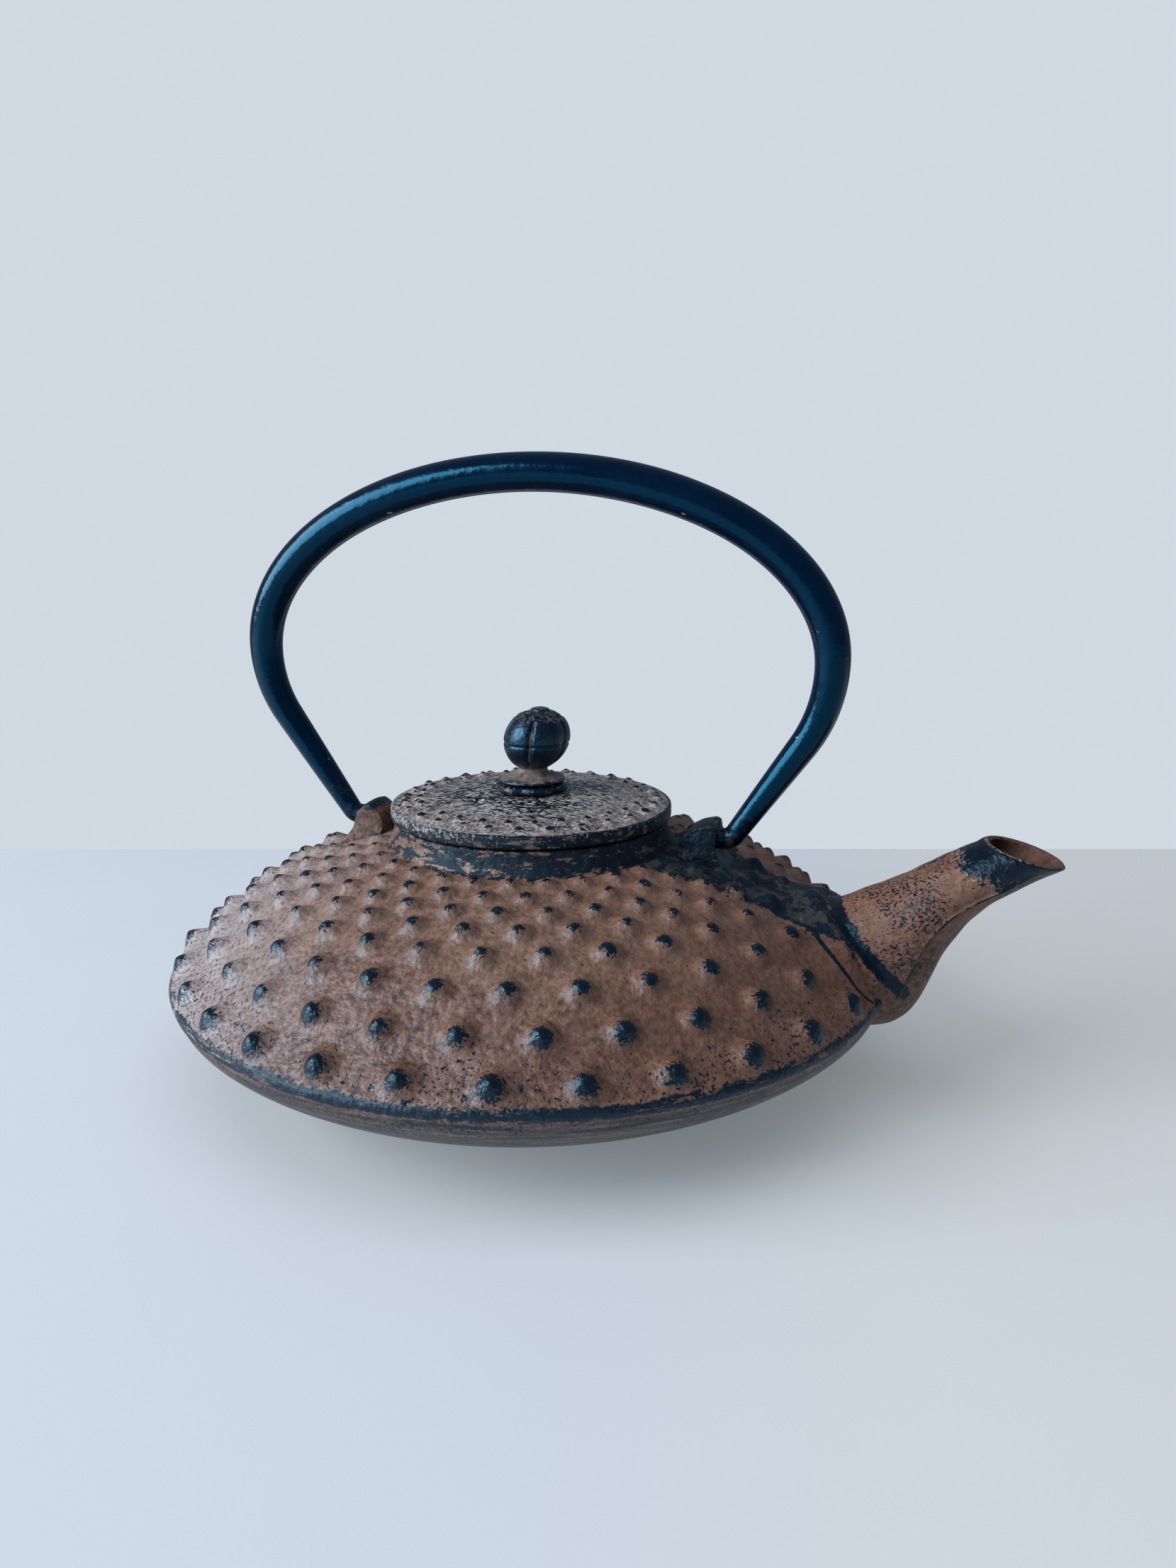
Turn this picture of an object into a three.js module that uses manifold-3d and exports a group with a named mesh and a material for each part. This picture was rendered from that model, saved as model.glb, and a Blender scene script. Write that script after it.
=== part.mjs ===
// Cast iron teapot: a saucer-shaped pot with a hobnailed shoulder, a hollow spout, two fin-shaped lugs,
// an upright bail handle, a lid with a riveted knob, and a steel tea basket hanging in the neck.
// Millimetres, +Z up. The origin is the centre of the flat foot, and +X points out along the spout.

import * as THREE from 'three';
import { mergeVertices } from 'three/addons/utils/BufferGeometryUtils.js';
import Module from 'manifold-3d';

const wasm = await Module();
wasm.setup();

// ---- Driving dimensions ----

const GAP = 0.3; // clearance between neighbouring pieces

// Pot: radii and heights of the casting
const BODY_RADIUS = 90;
const EQUATOR_Z = 27;
const RIDGE_HALF = 2; // half the height of the rounded ridge round the equator
const RIDGE_DEPTH = 1.3;
const FOOT_RADIUS = 42;
const FOOT_HEIGHT = 3;
const WALL = 4;
const NECK_RADIUS = 34.5;
const NECK_TOP_Z = 63.5;
const NECK_BORE = 29.8;
const LEDGE_RADIUS = 32.6; // recess in the neck that the basket's rim drops into
const LEDGE_Z = 58.5;

// Shoulder and lower bowl, as radius and height control points
const SHOULDER = [[88.7, 29], [71.9, 42.7], [66.6, 50.8], [35.8, 57.7]];
const LOWER_BOWL = [[88.7, 25], [88.5, 17.7], [59.9, 3.3], [FOOT_RADIUS, FOOT_HEIGHT]];

// Hobnails: radius of each row, the nails in a row, and how far they stand up
const NAIL_ROWS = [85.8, 78, 70.2, 62.6, 56.2, 50.6, 44.9, 39.3];
const NAILS_PER_ROW = 30;
const NAIL_HEIGHTS = [3, 1.8]; // of the outermost row and of the innermost
const NAIL_TWIST = 0.6; // degrees that each row is turned beyond half a nail
const ROOT_START = 66; // radius where the spout's root begins to clear the nails away
const ROOT_MARGIN = 7; // nail-free half width there
const ROOT_SPREAD = 15; // how much wider the nail-free strip is at the equator
const LUG_CLEAR_RADII = [36, 53]; // no nail stands under a lug between these radii
const LUG_MARGIN = 2.5;

// Points round a ring of the pot's outside, and of its inside
const OUTER_COLUMNS = 60;
const INNER_COLUMNS = 48;

// Spout: a section is an ellipse that hangs from the crest line to the keel line
const SPOUT_CREST = [[62, 41], [75, 46.2], [84, 50.6], [91.9, 54.5], [98, 58], [103.6, 61.3], [109.4, 64.3]];
const SPOUT_KEEL = [[72, 15.8], [90, 18], [96.8, 24.5], [102, 36.8], [107.8, 46], [115, 52.2], [127.2, 59.4]];
const SPOUT_HALF_WIDTHS = [16.5, 15, 13.2, 11.6, 10.3, 9.6, 9.5];
const SPOUT_ROOT_WALL = 4.5;
const SPOUT_LIP_WALL = 1.5;
const COLLAR_CREST_END = 0.17; // where the raised collar steps down, as a share of the spout's length
const COLLAR_KEEL_END = 0.33; // the same below, because the collar's edge leans back
const COLLAR_STEP = 0.9;
const COLLAR_REACH = 125; // degrees round the section from the crest, where the collar has faded out

// Lugs and bail handle
const PIVOT_Z = 60.5;
const LUG_FOOT_Z = 54; // inside the pot's skin, which cuts the lug off
const LUG_NECK_SIDE = [[39.6, LUG_FOOT_Z], [40.2, 61.2]];
const LUG_TOP = [[40.8, 63.6], [43.4, 63.5], [45.3, 63.2], [45.9, 60.6]]; // control, end, control, end
const LUG_OUTER_FOOT = [47.3, LUG_FOOT_Z];
const LUG_WIDTH = 10.6;
const LUG_BEVEL = 1.6;
const LUG_HOLE = 2.9;
const LUG_HOLE_END = 40.2; // x of the bottom of the blind hole
const PIN_TIP = 41.2;
const PIN_RADIUS = 2.6;
const GRIP_RADIUS = 4.7;
const TAPER_FROM_Z = 62; // the bar thickens from here up to its top
const BAIL_HALF_SPAN = 72.7;
const BAIL_RISE = 43.6;
const BAIL_SPRING_Z = 104; // height at which the half ellipse begins
const BAIL_HIP_RADII = [35, 31]; // the hand-bent bar turns tighter on the rear side
const BAIL_LEG_ANGLE = 34.5; // degrees from upright
const BAIL_OFFSET = 0.6; // the hand-bent bar sits this far towards the spout
const HOOK_RADIUS = 3.2;

// Lid
const LID_RADIUS = 35.3;
const LID_UNDERSIDE_Z = 63.9;
const LID_EDGE_Z = 67;
const LID_CROWN_Z = 69.6;
const LID_NAIL_RINGS = [31.7, 28];
const LID_NAILS = 28;
const LID_NAIL_HEIGHT = 1;
const SKIRT_RADIUS = 31.8;
const SKIRT_WALL = 2;
const SKIRT_BOTTOM_Z = 59.9;
const LID_THICKNESS = 3.2;
const LID_EDGE_ROUND = 0.6;
const VENT_RADIUS = 1.5;
const VENT_PLACE = [-10.1, -12];

// Knob, its petalled seat and its washer
const STEM_RADIUS = 2.5;
const STEM_HOLE = 2.9;
const SEAT_RADIUS = 9.4;
const SEAT_LOBE = 0.5;
const SEAT_PETALS = 6;
const SEAT_BOTTOM_Z = LID_CROWN_Z + GAP;
const SEAT_TOP_Z = 72.2;
const KNOB_BOTTOM_Z = SEAT_TOP_Z + GAP;
const KNOB_RADIUS = 8.3;
const KNOB_CENTRE_Z = 83;
const KNOB_HALF_HEIGHT = 8;
const KNOB_LEAN = 1.4; // how far the ball's centre stands off the axis, towards the spout
const KNOB_GROOVES = 5;
const KNOB_GROOVE_DEPTH = 1.1;
const KNOB_FIRST_GROOVE = -13; // degrees from +X
const KNOB_CAP_LATITUDE = 38; // degrees above the ball's middle where the cap begins
const KNOB_LATITUDES = [-60, -40, -20, 0, 20, KNOB_CAP_LATITUDE];
const KNOB_FOOT = [[8.8, 0], [8.5, 0.6], [5.9, 1], [4.3, 1.8], [3.6, 2.9]]; // radius, height over the seat
const KNOB_CAP = [[5.8, 0.3], [4.9, 1.5], [2.6, 2.5]]; // radius, height over the cap's edge
const RIVET_END = [[2.8, -1.3], [4.2, -0.6], [4.2, 0]]; // the peened end, radius and height under the washer
const RIVET_DEPTH = 1.5;
const WASHER_RADIUS = 7;
const WASHER_THICKNESS = 1.2;
const WASHER_TOP_Z = LID_CROWN_Z - LID_THICKNESS - GAP;

// Tea basket
const BASKET_RADIUS = 24;
const BASKET_SHEET = 0.6;
const BASKET_BOTTOM_Z = 14;
const BASKET_TOP_Z = 59.4;
const RIM_FLANGE_RADIUS = 32.2;
const RIM_SHEET = 0.8;
const RIM_COLLAR_BOTTOM_Z = 52.5;
const BASE_UPTURN = 4;

// ---- Materials ----

function iron(color, roughness, metalness) {
  return new THREE.MeshStandardMaterial({ color, roughness, metalness });
}

const BROWN_IRON = iron(0x6b5243, 0.62, 0.35);
const SPOUT_IRON = iron(0x7d6256, 0.6, 0.35);
const BLACK_IRON = iron(0x10161f, 0.42, 0.5);
const LID_IRON = iron(0x5d5a58, 0.55, 0.45);
const STEEL = iron(0xb4b7ba, 0.3, 0.9);

// ---- Solids ----

function radians(degrees) {
  return THREE.MathUtils.degToRad(degrees);
}

// A level ring of points, counter-clockwise from above.
function levelRing(radius, z, columns, turn = 0) {
  const ring = [];
  for (let column = 0; column < columns; column++) {
    const angle = turn + (2 * Math.PI * column) / columns;
    ring.push(new THREE.Vector3(radius * Math.cos(angle), radius * Math.sin(angle), z));
  }
  return ring;
}

function pointRing(x, z) {
  return [new THREE.Vector3(x, 0, z)];
}

// Two triangles for each square between rings of equal counts. The diagonal runs where the surface
// stands further out, so that a nail's tip gathers the faces around it evenly.
function zipSquares(indices, positions, startA, startB, count) {
  const corner = (index) => new THREE.Vector3().fromArray(positions, index * 3);
  const reach = (one, other) => corner(one).add(corner(other)).length();
  for (let column = 0; column < count; column++) {
    const next = (column + 1) % count;
    const [a, b, c, d] = [startA + column, startA + next, startB + next, startB + column];
    if (reach(a, c) > reach(b, d) + 0.01) indices.push(a, b, c, a, c, d);
    else indices.push(a, b, d, b, c, d);
  }
}

// Triangles between neighbouring rings that have different counts of points.
function zip(indices, startA, countA, startB, countB) {
  const stepsA = countA > 1 ? countA : 0;
  const stepsB = countB > 1 ? countB : 0;
  let a = 0;
  let b = 0;
  while (a < stepsA || b < stepsB) {
    const moveA = b >= stepsB || (a < stepsA && (a + 1) / stepsA <= (b + 1) / stepsB);
    const cornerA = startA + (a % countA);
    const cornerB = startB + (b % countB);
    if (moveA) {
      a += 1;
      indices.push(cornerA, startA + (a % countA), cornerB);
    } else {
      b += 1;
      indices.push(cornerA, startB + (b % countB), cornerB);
    }
  }
}

// One closed surface through a list of rings. A first and last ring of one point close its ends;
// without them the last ring is joined back to the first.
function loft(rings) {
  const positions = [];
  const starts = [];
  for (const ring of rings) {
    starts.push(positions.length / 3);
    for (const point of ring) positions.push(point.x, point.y, point.z);
  }
  const indices = [];
  const strips = rings[0].length > 1 ? rings.length : rings.length - 1;
  for (let strip = 0; strip < strips; strip++) {
    const next = (strip + 1) % rings.length;
    const counts = [rings[strip].length, rings[next].length];
    if (counts[0] === counts[1]) zipSquares(indices, positions, starts[strip], starts[next], counts[0]);
    else zip(indices, starts[strip], counts[0], starts[next], counts[1]);
  }
  const geometry = new THREE.BufferGeometry();
  geometry.setAttribute('position', new THREE.Float32BufferAttribute(positions, 3));
  geometry.setIndex(indices);
  return geometry;
}

// A solid of revolution about Z. The profile lists radius and height, anticlockwise round the metal.
function turned(profile, columns) {
  const points = profile.map(([radius, z]) => new THREE.Vector2(radius, z));
  const closed = profile[0][0] > 0;
  if (closed) points.push(points[0].clone());
  return new THREE.LatheGeometry(points, columns).rotateX(Math.PI / 2);
}

function solidOf(geometry) {
  const bare = geometry.clone();
  bare.deleteAttribute('normal');
  bare.deleteAttribute('uv');
  const merged = mergeVertices(bare, 1e-4);
  const vertProperties = new Float32Array(merged.attributes.position.array);
  const triVerts = new Uint32Array(merged.index.array);
  return new wasm.Manifold(new wasm.Mesh({ numProp: 3, vertProperties, triVerts }));
}

function geometryOf(solid) {
  const mesh = solid.getMesh();
  const geometry = new THREE.BufferGeometry();
  geometry.setAttribute('position', new THREE.Float32BufferAttribute(mesh.vertProperties, 3));
  geometry.setIndex([...mesh.triVerts]);
  return geometry;
}

function bezier(controls) {
  return new THREE.CubicBezierCurve(...controls.map(([x, y]) => new THREE.Vector2(x, y)));
}

// ---- Pot ----

const shoulderCurve = bezier(SHOULDER);
const lowerCurve = bezier(LOWER_BOWL);

// The shoulder's point at a radius, with its outward normal.
function shoulderAt(radius) {
  let low = 0;
  let high = 1;
  for (let step = 0; step < 30; step++) {
    const middle = (low + high) / 2;
    if (shoulderCurve.getPoint(middle).x > radius) low = middle;
    else high = middle;
  }
  const point = shoulderCurve.getPoint(low);
  const along = shoulderCurve.getTangent(low);
  return { point, normal: new THREE.Vector2(along.y, -along.x) };
}

// The nails stop where the spout's root and the lugs stand.
function nailStands(radius, angle) {
  const x = radius * Math.cos(angle);
  const y = Math.abs(radius * Math.sin(angle));
  const downhill = Math.max(0, (radius - ROOT_START) / (BODY_RADIUS - ROOT_START));
  const underSpout = downhill > 0 && x > 0 && y < ROOT_MARGIN + ROOT_SPREAD * Math.sqrt(downhill);
  const [lugStart, lugEnd] = LUG_CLEAR_RADII;
  const underLug = y < LUG_WIDTH / 2 + LUG_MARGIN && radius > lugStart && radius < lugEnd;
  return !underSpout && !underLug;
}

// A ring of the shoulder. On a nail row every fourth column is a nail's tip.
function shoulderRing(radius, row, onNails) {
  const columns = NAILS_PER_ROW * 4;
  const turn = radians(-90 + row * NAIL_TWIST);
  const { point, normal } = shoulderAt(radius);
  const ring = levelRing(point.x, point.y, columns, turn);
  if (!onNails) return ring;
  const [outermost, innermost] = NAIL_HEIGHTS;
  const height = outermost + ((innermost - outermost) * row) / (NAIL_ROWS.length - 1);
  ring.forEach((corner, column) => {
    const angle = turn + (2 * Math.PI * column) / columns;
    const isTip = column % 4 === (row % 2) * 2;
    if (!isTip || !nailStands(point.x, angle)) return;
    const radial = point.x + normal.x * height;
    corner.set(radial * Math.cos(angle), radial * Math.sin(angle), point.y + normal.y * height);
  });
  return ring;
}

// Radii of the shoulder's rings from the equator up to the neck. Every second one is a nail row.
function shoulderRadii() {
  const radii = [];
  NAIL_ROWS.forEach((radius, row) => {
    radii.push(row === 0 ? SHOULDER[0][0] - 0.6 : (NAIL_ROWS[row - 1] + radius) / 2, radius);
  });
  return [...radii, SHOULDER[3][0] + 0.9];
}

function shoulderRings() {
  return shoulderRadii().map((radius, index) => shoulderRing(radius, (index - 1) / 2, index % 2 === 1));
}

// Points on the lower bowl from the foot up to the equator.
function lowerProfile(steps) {
  return lowerCurve.getPoints(steps).reverse().map((point) => [point.x, point.y]);
}

const RIDGE = [
  [BODY_RADIUS - 0.35, EQUATOR_Z - RIDGE_HALF * 0.55],
  [BODY_RADIUS, EQUATOR_Z],
  [BODY_RADIUS - 0.35, EQUATOR_Z + RIDGE_HALF * 0.55],
  [BODY_RADIUS - RIDGE_DEPTH, EQUATOR_Z + RIDGE_HALF],
];

// The inside of the pot, from the neck's top down to the middle of the floor.
const CAVITY = [
  [LEDGE_RADIUS, NECK_TOP_Z],
  [LEDGE_RADIUS, LEDGE_Z],
  [NECK_BORE, LEDGE_Z],
  [NECK_BORE, 55.2],
  [34, 53.7],
  [46, 51.4],
  [58, 46.4],
  [68, 40.3],
  [77, 33.2],
  [84.4, EQUATOR_Z],
  [80.5, 20.6],
  [71, 15],
  [58, 10],
  [43, FOOT_HEIGHT + WALL],
];

function potBody(spoutBore) {
  const profile = [[FOOT_RADIUS - 1, 0], [FOOT_RADIUS, 0.8], ...lowerProfile(8), ...RIDGE];
  const rings = [pointRing(0, 0)];
  for (const [radius, z] of profile) rings.push(levelRing(radius, z, OUTER_COLUMNS, radians(-90)));
  rings.push(...shoulderRings());
  rings.push(levelRing(NECK_RADIUS + 0.4, SHOULDER[3][1] + 0.9, OUTER_COLUMNS, radians(-90)));
  rings.push(levelRing(NECK_RADIUS, SHOULDER[3][1] + 2, OUTER_COLUMNS, radians(-90)));
  rings.push(levelRing(NECK_RADIUS, NECK_TOP_Z, OUTER_COLUMNS, radians(-90)));
  for (const [radius, z] of CAVITY) rings.push(levelRing(radius, z, INNER_COLUMNS, radians(-90)));
  rings.push(pointRing(0, FOOT_HEIGHT + WALL));
  return geometryOf(solidOf(loft(rings)).subtract(spoutBore));
}

// The pot's plain outside with the clearance added, used to seat the spout and the lugs on it.
function potEnvelope() {
  const shoulder = shoulderRadii().map((radius) => {
    const { point, normal } = shoulderAt(radius);
    return [point.x + normal.x * GAP, point.y + normal.y * GAP];
  });
  const lower = lowerProfile(8).map(([radius, z]) => [radius + GAP * 0.6, z - GAP]);
  const ridge = RIDGE.map(([radius, z]) => [radius + GAP, z]);
  const neckRadius = NECK_RADIUS + GAP;
  const neck = [[neckRadius, SHOULDER[3][1] + 1.8], [neckRadius, LID_CROWN_Z], [0, LID_CROWN_Z]];
  return solidOf(turned([[0, -1], ...lower, ...ridge, ...shoulder, ...neck], OUTER_COLUMNS * 2));
}

// ---- Spout ----

function spline(points) {
  return new THREE.SplineCurve(points.map(([x, y]) => new THREE.Vector2(x, y)));
}

const crestLine = spline(SPOUT_CREST);
const keelLine = spline(SPOUT_KEEL);
const widthLine = spline(SPOUT_HALF_WIDTHS.map((width, index) => [index, width]));

// How much of the collar's step a point of the section has: all of it over the crest and the sides,
// and none on the keel.
function collarShare(angle) {
  const fromCrest = THREE.MathUtils.radToDeg(Math.acos(Math.cos(angle)));
  return 1 - THREE.MathUtils.smoothstep(fromCrest, COLLAR_REACH - 35, COLLAR_REACH);
}

// A point of the spout's skin, at a share of the length and an angle round from the crest. It is
// grown outward all round by growth, and by collar where the collar runs.
function spoutPoint(share, angle, growth, collar) {
  const crest = crestLine.getPoint(share);
  const keel = keelLine.getPoint(share);
  const middle = crest.clone().add(keel).multiplyScalar(0.5);
  const rise = crest.clone().sub(keel).multiplyScalar(0.5);
  const upright = rise.clone().normalize();
  const step = growth + collar * collarShare(angle);
  const lift = (rise.length() + step) * Math.cos(angle);
  const side = -(widthLine.getPoint(share).y + step) * Math.sin(angle);
  return new THREE.Vector3(middle.x + upright.x * lift, side, middle.y + upright.y * lift);
}

// A ring round the spout, whose share of the length may differ between the crest and the keel.
function spoutRing(crestShare, keelShare, growth, collar) {
  const ring = [];
  for (let corner = 0; corner < SPOUT_SIDES; corner++) {
    const angle = (2 * Math.PI * corner) / SPOUT_SIDES;
    const share = THREE.MathUtils.lerp(crestShare, keelShare, (1 - Math.cos(angle)) / 2);
    ring.push(spoutPoint(share, angle, growth, collar));
  }
  return ring;
}

function spoutWall(share) {
  return THREE.MathUtils.lerp(SPOUT_ROOT_WALL, SPOUT_LIP_WALL, Math.min(1, share * 1.2));
}

// Shares of the length from root to lip, closer together where the spout turns.
const SPOUT_STATIONS = [0, 0.16, 0.4, 0.5, 0.6, 0.7, 0.8, 0.9, 1];
const SPOUT_SIDES = 24;

function spoutBoreRings(shares) {
  return shares.map((share) => spoutRing(share, share, -spoutWall(share), 0));
}

function spoutBody(envelope) {
  const outer = [
    spoutRing(0, 0, 0, COLLAR_STEP),
    spoutRing(COLLAR_CREST_END * 0.6, COLLAR_KEEL_END * 0.6, 0, COLLAR_STEP),
    spoutRing(COLLAR_CREST_END, COLLAR_KEEL_END, 0, COLLAR_STEP),
    spoutRing(COLLAR_CREST_END + 0.012, COLLAR_KEEL_END + 0.012, 0, 0),
    spoutRing(0.32, 0.4, 0, 0),
    ...SPOUT_STATIONS.slice(3).map((share) => spoutRing(share, share, 0, 0)),
  ];
  const inner = spoutBoreRings(SPOUT_STATIONS).reverse();
  return geometryOf(solidOf(loft([...outer, ...inner])).subtract(envelope));
}

// The hollow of the spout as a solid, carried on through the pot's wall.
function spoutBore() {
  const rings = spoutBoreRings(SPOUT_STATIONS.slice(0, 3));
  const middleOf = (ring) => {
    const sum = ring.reduce((total, point) => total.add(point), new THREE.Vector3());
    return [sum.divideScalar(ring.length)];
  };
  return solidOf(loft([middleOf(rings[0]), ...rings, middleOf(rings[2])]));
}

// ---- Lugs ----

function lug(side, envelope) {
  const outline = new THREE.Shape();
  outline.moveTo(...LUG_NECK_SIDE[0]);
  outline.lineTo(...LUG_NECK_SIDE[1]);
  outline.quadraticCurveTo(...LUG_TOP[0], ...LUG_TOP[1]);
  outline.quadraticCurveTo(...LUG_TOP[2], ...LUG_TOP[3]);
  outline.lineTo(...LUG_OUTER_FOOT);
  outline.closePath();
  const fin = new THREE.ExtrudeGeometry(outline, {
    depth: LUG_WIDTH - 2 * LUG_BEVEL,
    bevelSize: LUG_BEVEL,
    bevelThickness: LUG_BEVEL,
    bevelSegments: 2,
    curveSegments: 4,
  });
  fin.rotateX(Math.PI / 2).translate(0, LUG_WIDTH / 2 - LUG_BEVEL, 0);
  const drill = new THREE.CylinderGeometry(LUG_HOLE, LUG_HOLE, 20, 20);
  drill.rotateZ(Math.PI / 2).translate(LUG_HOLE_END + 10, 0, PIVOT_Z);
  const solid = solidOf(fin).subtract(solidOf(drill)).subtract(envelope);
  const geometry = geometryOf(solid);
  if (side < 0) geometry.rotateZ(Math.PI);
  return geometry;
}

// ---- Bail handle ----

// Centre line of one half, from the top of the arch down to the tip of the hooked end.
function bailHalf(hipRadius) {
  const points = [];
  const archSteps = 12;
  for (let step = 0; step <= archSteps; step++) {
    const angle = radians(90 - (90 * step) / archSteps);
    points.push([BAIL_HALF_SPAN * Math.cos(angle), BAIL_SPRING_Z + BAIL_RISE * Math.sin(angle)]);
  }
  const hipCentre = BAIL_HALF_SPAN - hipRadius;
  for (let step = 1; step <= 3; step++) {
    const angle = radians((BAIL_LEG_ANGLE * step) / 3);
    const x = hipCentre + hipRadius * Math.cos(angle);
    points.push([x, BAIL_SPRING_Z - hipRadius * Math.sin(angle)]);
  }
  const [hipX, hipZ] = points[points.length - 1];
  const cornerX = hipX - (hipZ - PIVOT_Z) * Math.tan(radians(BAIL_LEG_ANGLE));
  const turn = 90 - BAIL_LEG_ANGLE;
  const tangentLength = HOOK_RADIUS * Math.tan(radians(turn / 2));
  const hookCentreX = cornerX - tangentLength;
  const hookCentreZ = PIVOT_Z + HOOK_RADIUS;
  points.push([(hipX + cornerX) / 2, (hipZ + PIVOT_Z) / 2]);
  for (let step = 0; step <= 4; step++) {
    const angle = radians(-BAIL_LEG_ANGLE - (turn * step) / 4);
    points.push([hookCentreX + HOOK_RADIUS * Math.cos(angle), hookCentreZ + HOOK_RADIUS * Math.sin(angle)]);
  }
  points.push([PIN_TIP + 0.6, PIVOT_Z]);
  return points;
}

function bailRadius(z) {
  const climb = THREE.MathUtils.clamp((z - TAPER_FROM_Z) / (BAIL_SPRING_Z + BAIL_RISE - TAPER_FROM_Z), 0, 1);
  return THREE.MathUtils.lerp(PIN_RADIUS, GRIP_RADIUS, 1 - (1 - climb) ** 2);
}

function bailHandle() {
  const front = bailHalf(BAIL_HIP_RADII[0]);
  const rear = bailHalf(BAIL_HIP_RADII[1]).slice(1).map(([x, z]) => [-x, z]).reverse();
  const path = [...rear, ...front].map(([x, z]) => new THREE.Vector3(x + BAIL_OFFSET, 0, z));
  const rings = path.map((centre, index) => {
    const before = path[Math.max(0, index - 1)];
    const after = path[Math.min(path.length - 1, index + 1)];
    const along = after.clone().sub(before).normalize();
    const across = new THREE.Vector3(along.z, 0, -along.x);
    const radius = bailRadius(centre.z);
    const ring = [];
    for (let corner = 0; corner < 12; corner++) {
      const angle = (2 * Math.PI * corner) / 12;
      const point = centre.clone().addScaledVector(across, radius * Math.cos(angle));
      point.y += radius * Math.sin(angle);
      ring.push(point);
    }
    return ring;
  });
  const tips = [-PIN_TIP, PIN_TIP].map((x) => pointRing(x + BAIL_OFFSET, PIVOT_Z));
  return loft([tips[0], ...rings, tips[1]]);
}

// ---- Lid ----

function lidTopZ(radius) {
  const share = (radius - SEAT_RADIUS) / (LID_RADIUS - SEAT_RADIUS);
  return LID_CROWN_Z - (LID_CROWN_Z - LID_EDGE_Z) * THREE.MathUtils.clamp(share, 0, 1) ** 1.4;
}

// A ring of the lid's top in the nail band. Every fourth column can be a nail's tip.
function lidBandRing(radius, nailShift) {
  const ring = levelRing(radius, lidTopZ(radius), LID_NAILS * 4, radians(-90));
  if (nailShift === null) return ring;
  ring.forEach((corner, column) => {
    if (column % 4 === nailShift) corner.z += LID_NAIL_HEIGHT;
  });
  return ring;
}

function lid() {
  const plain = (radius, z) => levelRing(radius, z, LID_NAILS * 2, radians(-90));
  const skirtInner = SKIRT_RADIUS - SKIRT_WALL;
  const [outerNails, innerNails] = LID_NAIL_RINGS;
  const between = (outerNails + innerNails) / 2;
  const rings = [
    plain(STEM_HOLE, LID_CROWN_Z - LID_THICKNESS),
    plain(WASHER_RADIUS + 1, LID_CROWN_Z - LID_THICKNESS),
    plain(skirtInner, LID_UNDERSIDE_Z + LID_EDGE_ROUND),
    plain(skirtInner, SKIRT_BOTTOM_Z),
    plain(SKIRT_RADIUS, SKIRT_BOTTOM_Z),
    plain(SKIRT_RADIUS, LID_UNDERSIDE_Z),
    plain(LID_RADIUS - LID_EDGE_ROUND, LID_UNDERSIDE_Z),
    plain(LID_RADIUS, LID_UNDERSIDE_Z + LID_EDGE_ROUND),
    plain(LID_RADIUS, LID_EDGE_Z - LID_EDGE_ROUND),
    plain(LID_RADIUS - LID_EDGE_ROUND, LID_EDGE_Z),
    lidBandRing(outerNails + 1.8, null),
    lidBandRing(outerNails, 0),
    lidBandRing(between, null),
    lidBandRing(innerNails, 2),
    lidBandRing(innerNails - 1.8, null),
    plain(18, lidTopZ(18)),
    plain(SEAT_RADIUS + 1, LID_CROWN_Z),
    plain(STEM_HOLE, LID_CROWN_Z),
  ];
  const vent = new THREE.CylinderGeometry(VENT_RADIUS, VENT_RADIUS, 20, 12);
  vent.rotateX(Math.PI / 2).translate(VENT_PLACE[0], VENT_PLACE[1], LID_CROWN_Z);
  return geometryOf(solidOf(loft(rings)).subtract(solidOf(vent)));
}

// ---- Knob, seat and washer ----

function knobSeat() {
  const outline = new THREE.Shape();
  const steps = SEAT_PETALS * 8;
  for (let step = 0; step < steps; step++) {
    const angle = (2 * Math.PI * step) / steps;
    const radius = SEAT_RADIUS - 0.6 + SEAT_LOBE * Math.cos(SEAT_PETALS * angle);
    const corner = [radius * Math.cos(angle), radius * Math.sin(angle)];
    if (step === 0) outline.moveTo(...corner);
    else outline.lineTo(...corner);
  }
  outline.closePath();
  const hole = new THREE.Path().absarc(0, 0, STEM_HOLE + 0.6, 0, 2 * Math.PI, true);
  outline.holes.push(hole);
  const bevel = { bevelSize: 0.6, bevelThickness: 0.6, bevelSegments: 1, curveSegments: 8 };
  const depth = SEAT_TOP_Z - SEAT_BOTTOM_Z - 1.2;
  return new THREE.ExtrudeGeometry(outline, { depth, ...bevel }).translate(0, 0, SEAT_BOTTOM_Z + 0.6);
}

// A level ring of the knob's ball with its upright grooves cut in.
function knobRing(radius, z) {
  const ring = levelRing(radius, z, KNOB_GROOVES * 6, radians(KNOB_FIRST_GROOVE));
  const cut = 1 - KNOB_GROOVE_DEPTH / KNOB_RADIUS;
  ring.forEach((corner, column) => {
    if (column % 6 === 0) corner.set(corner.x * cut, corner.y * cut, z);
  });
  return ring;
}

// The cast knob leans a little, more the higher it goes.
function leaned(rings) {
  const slope = KNOB_LEAN / (KNOB_CENTRE_Z - KNOB_BOTTOM_Z);
  for (const ring of rings) {
    for (const point of ring) point.x += slope * (point.z - KNOB_BOTTOM_Z);
  }
  return rings;
}

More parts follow.
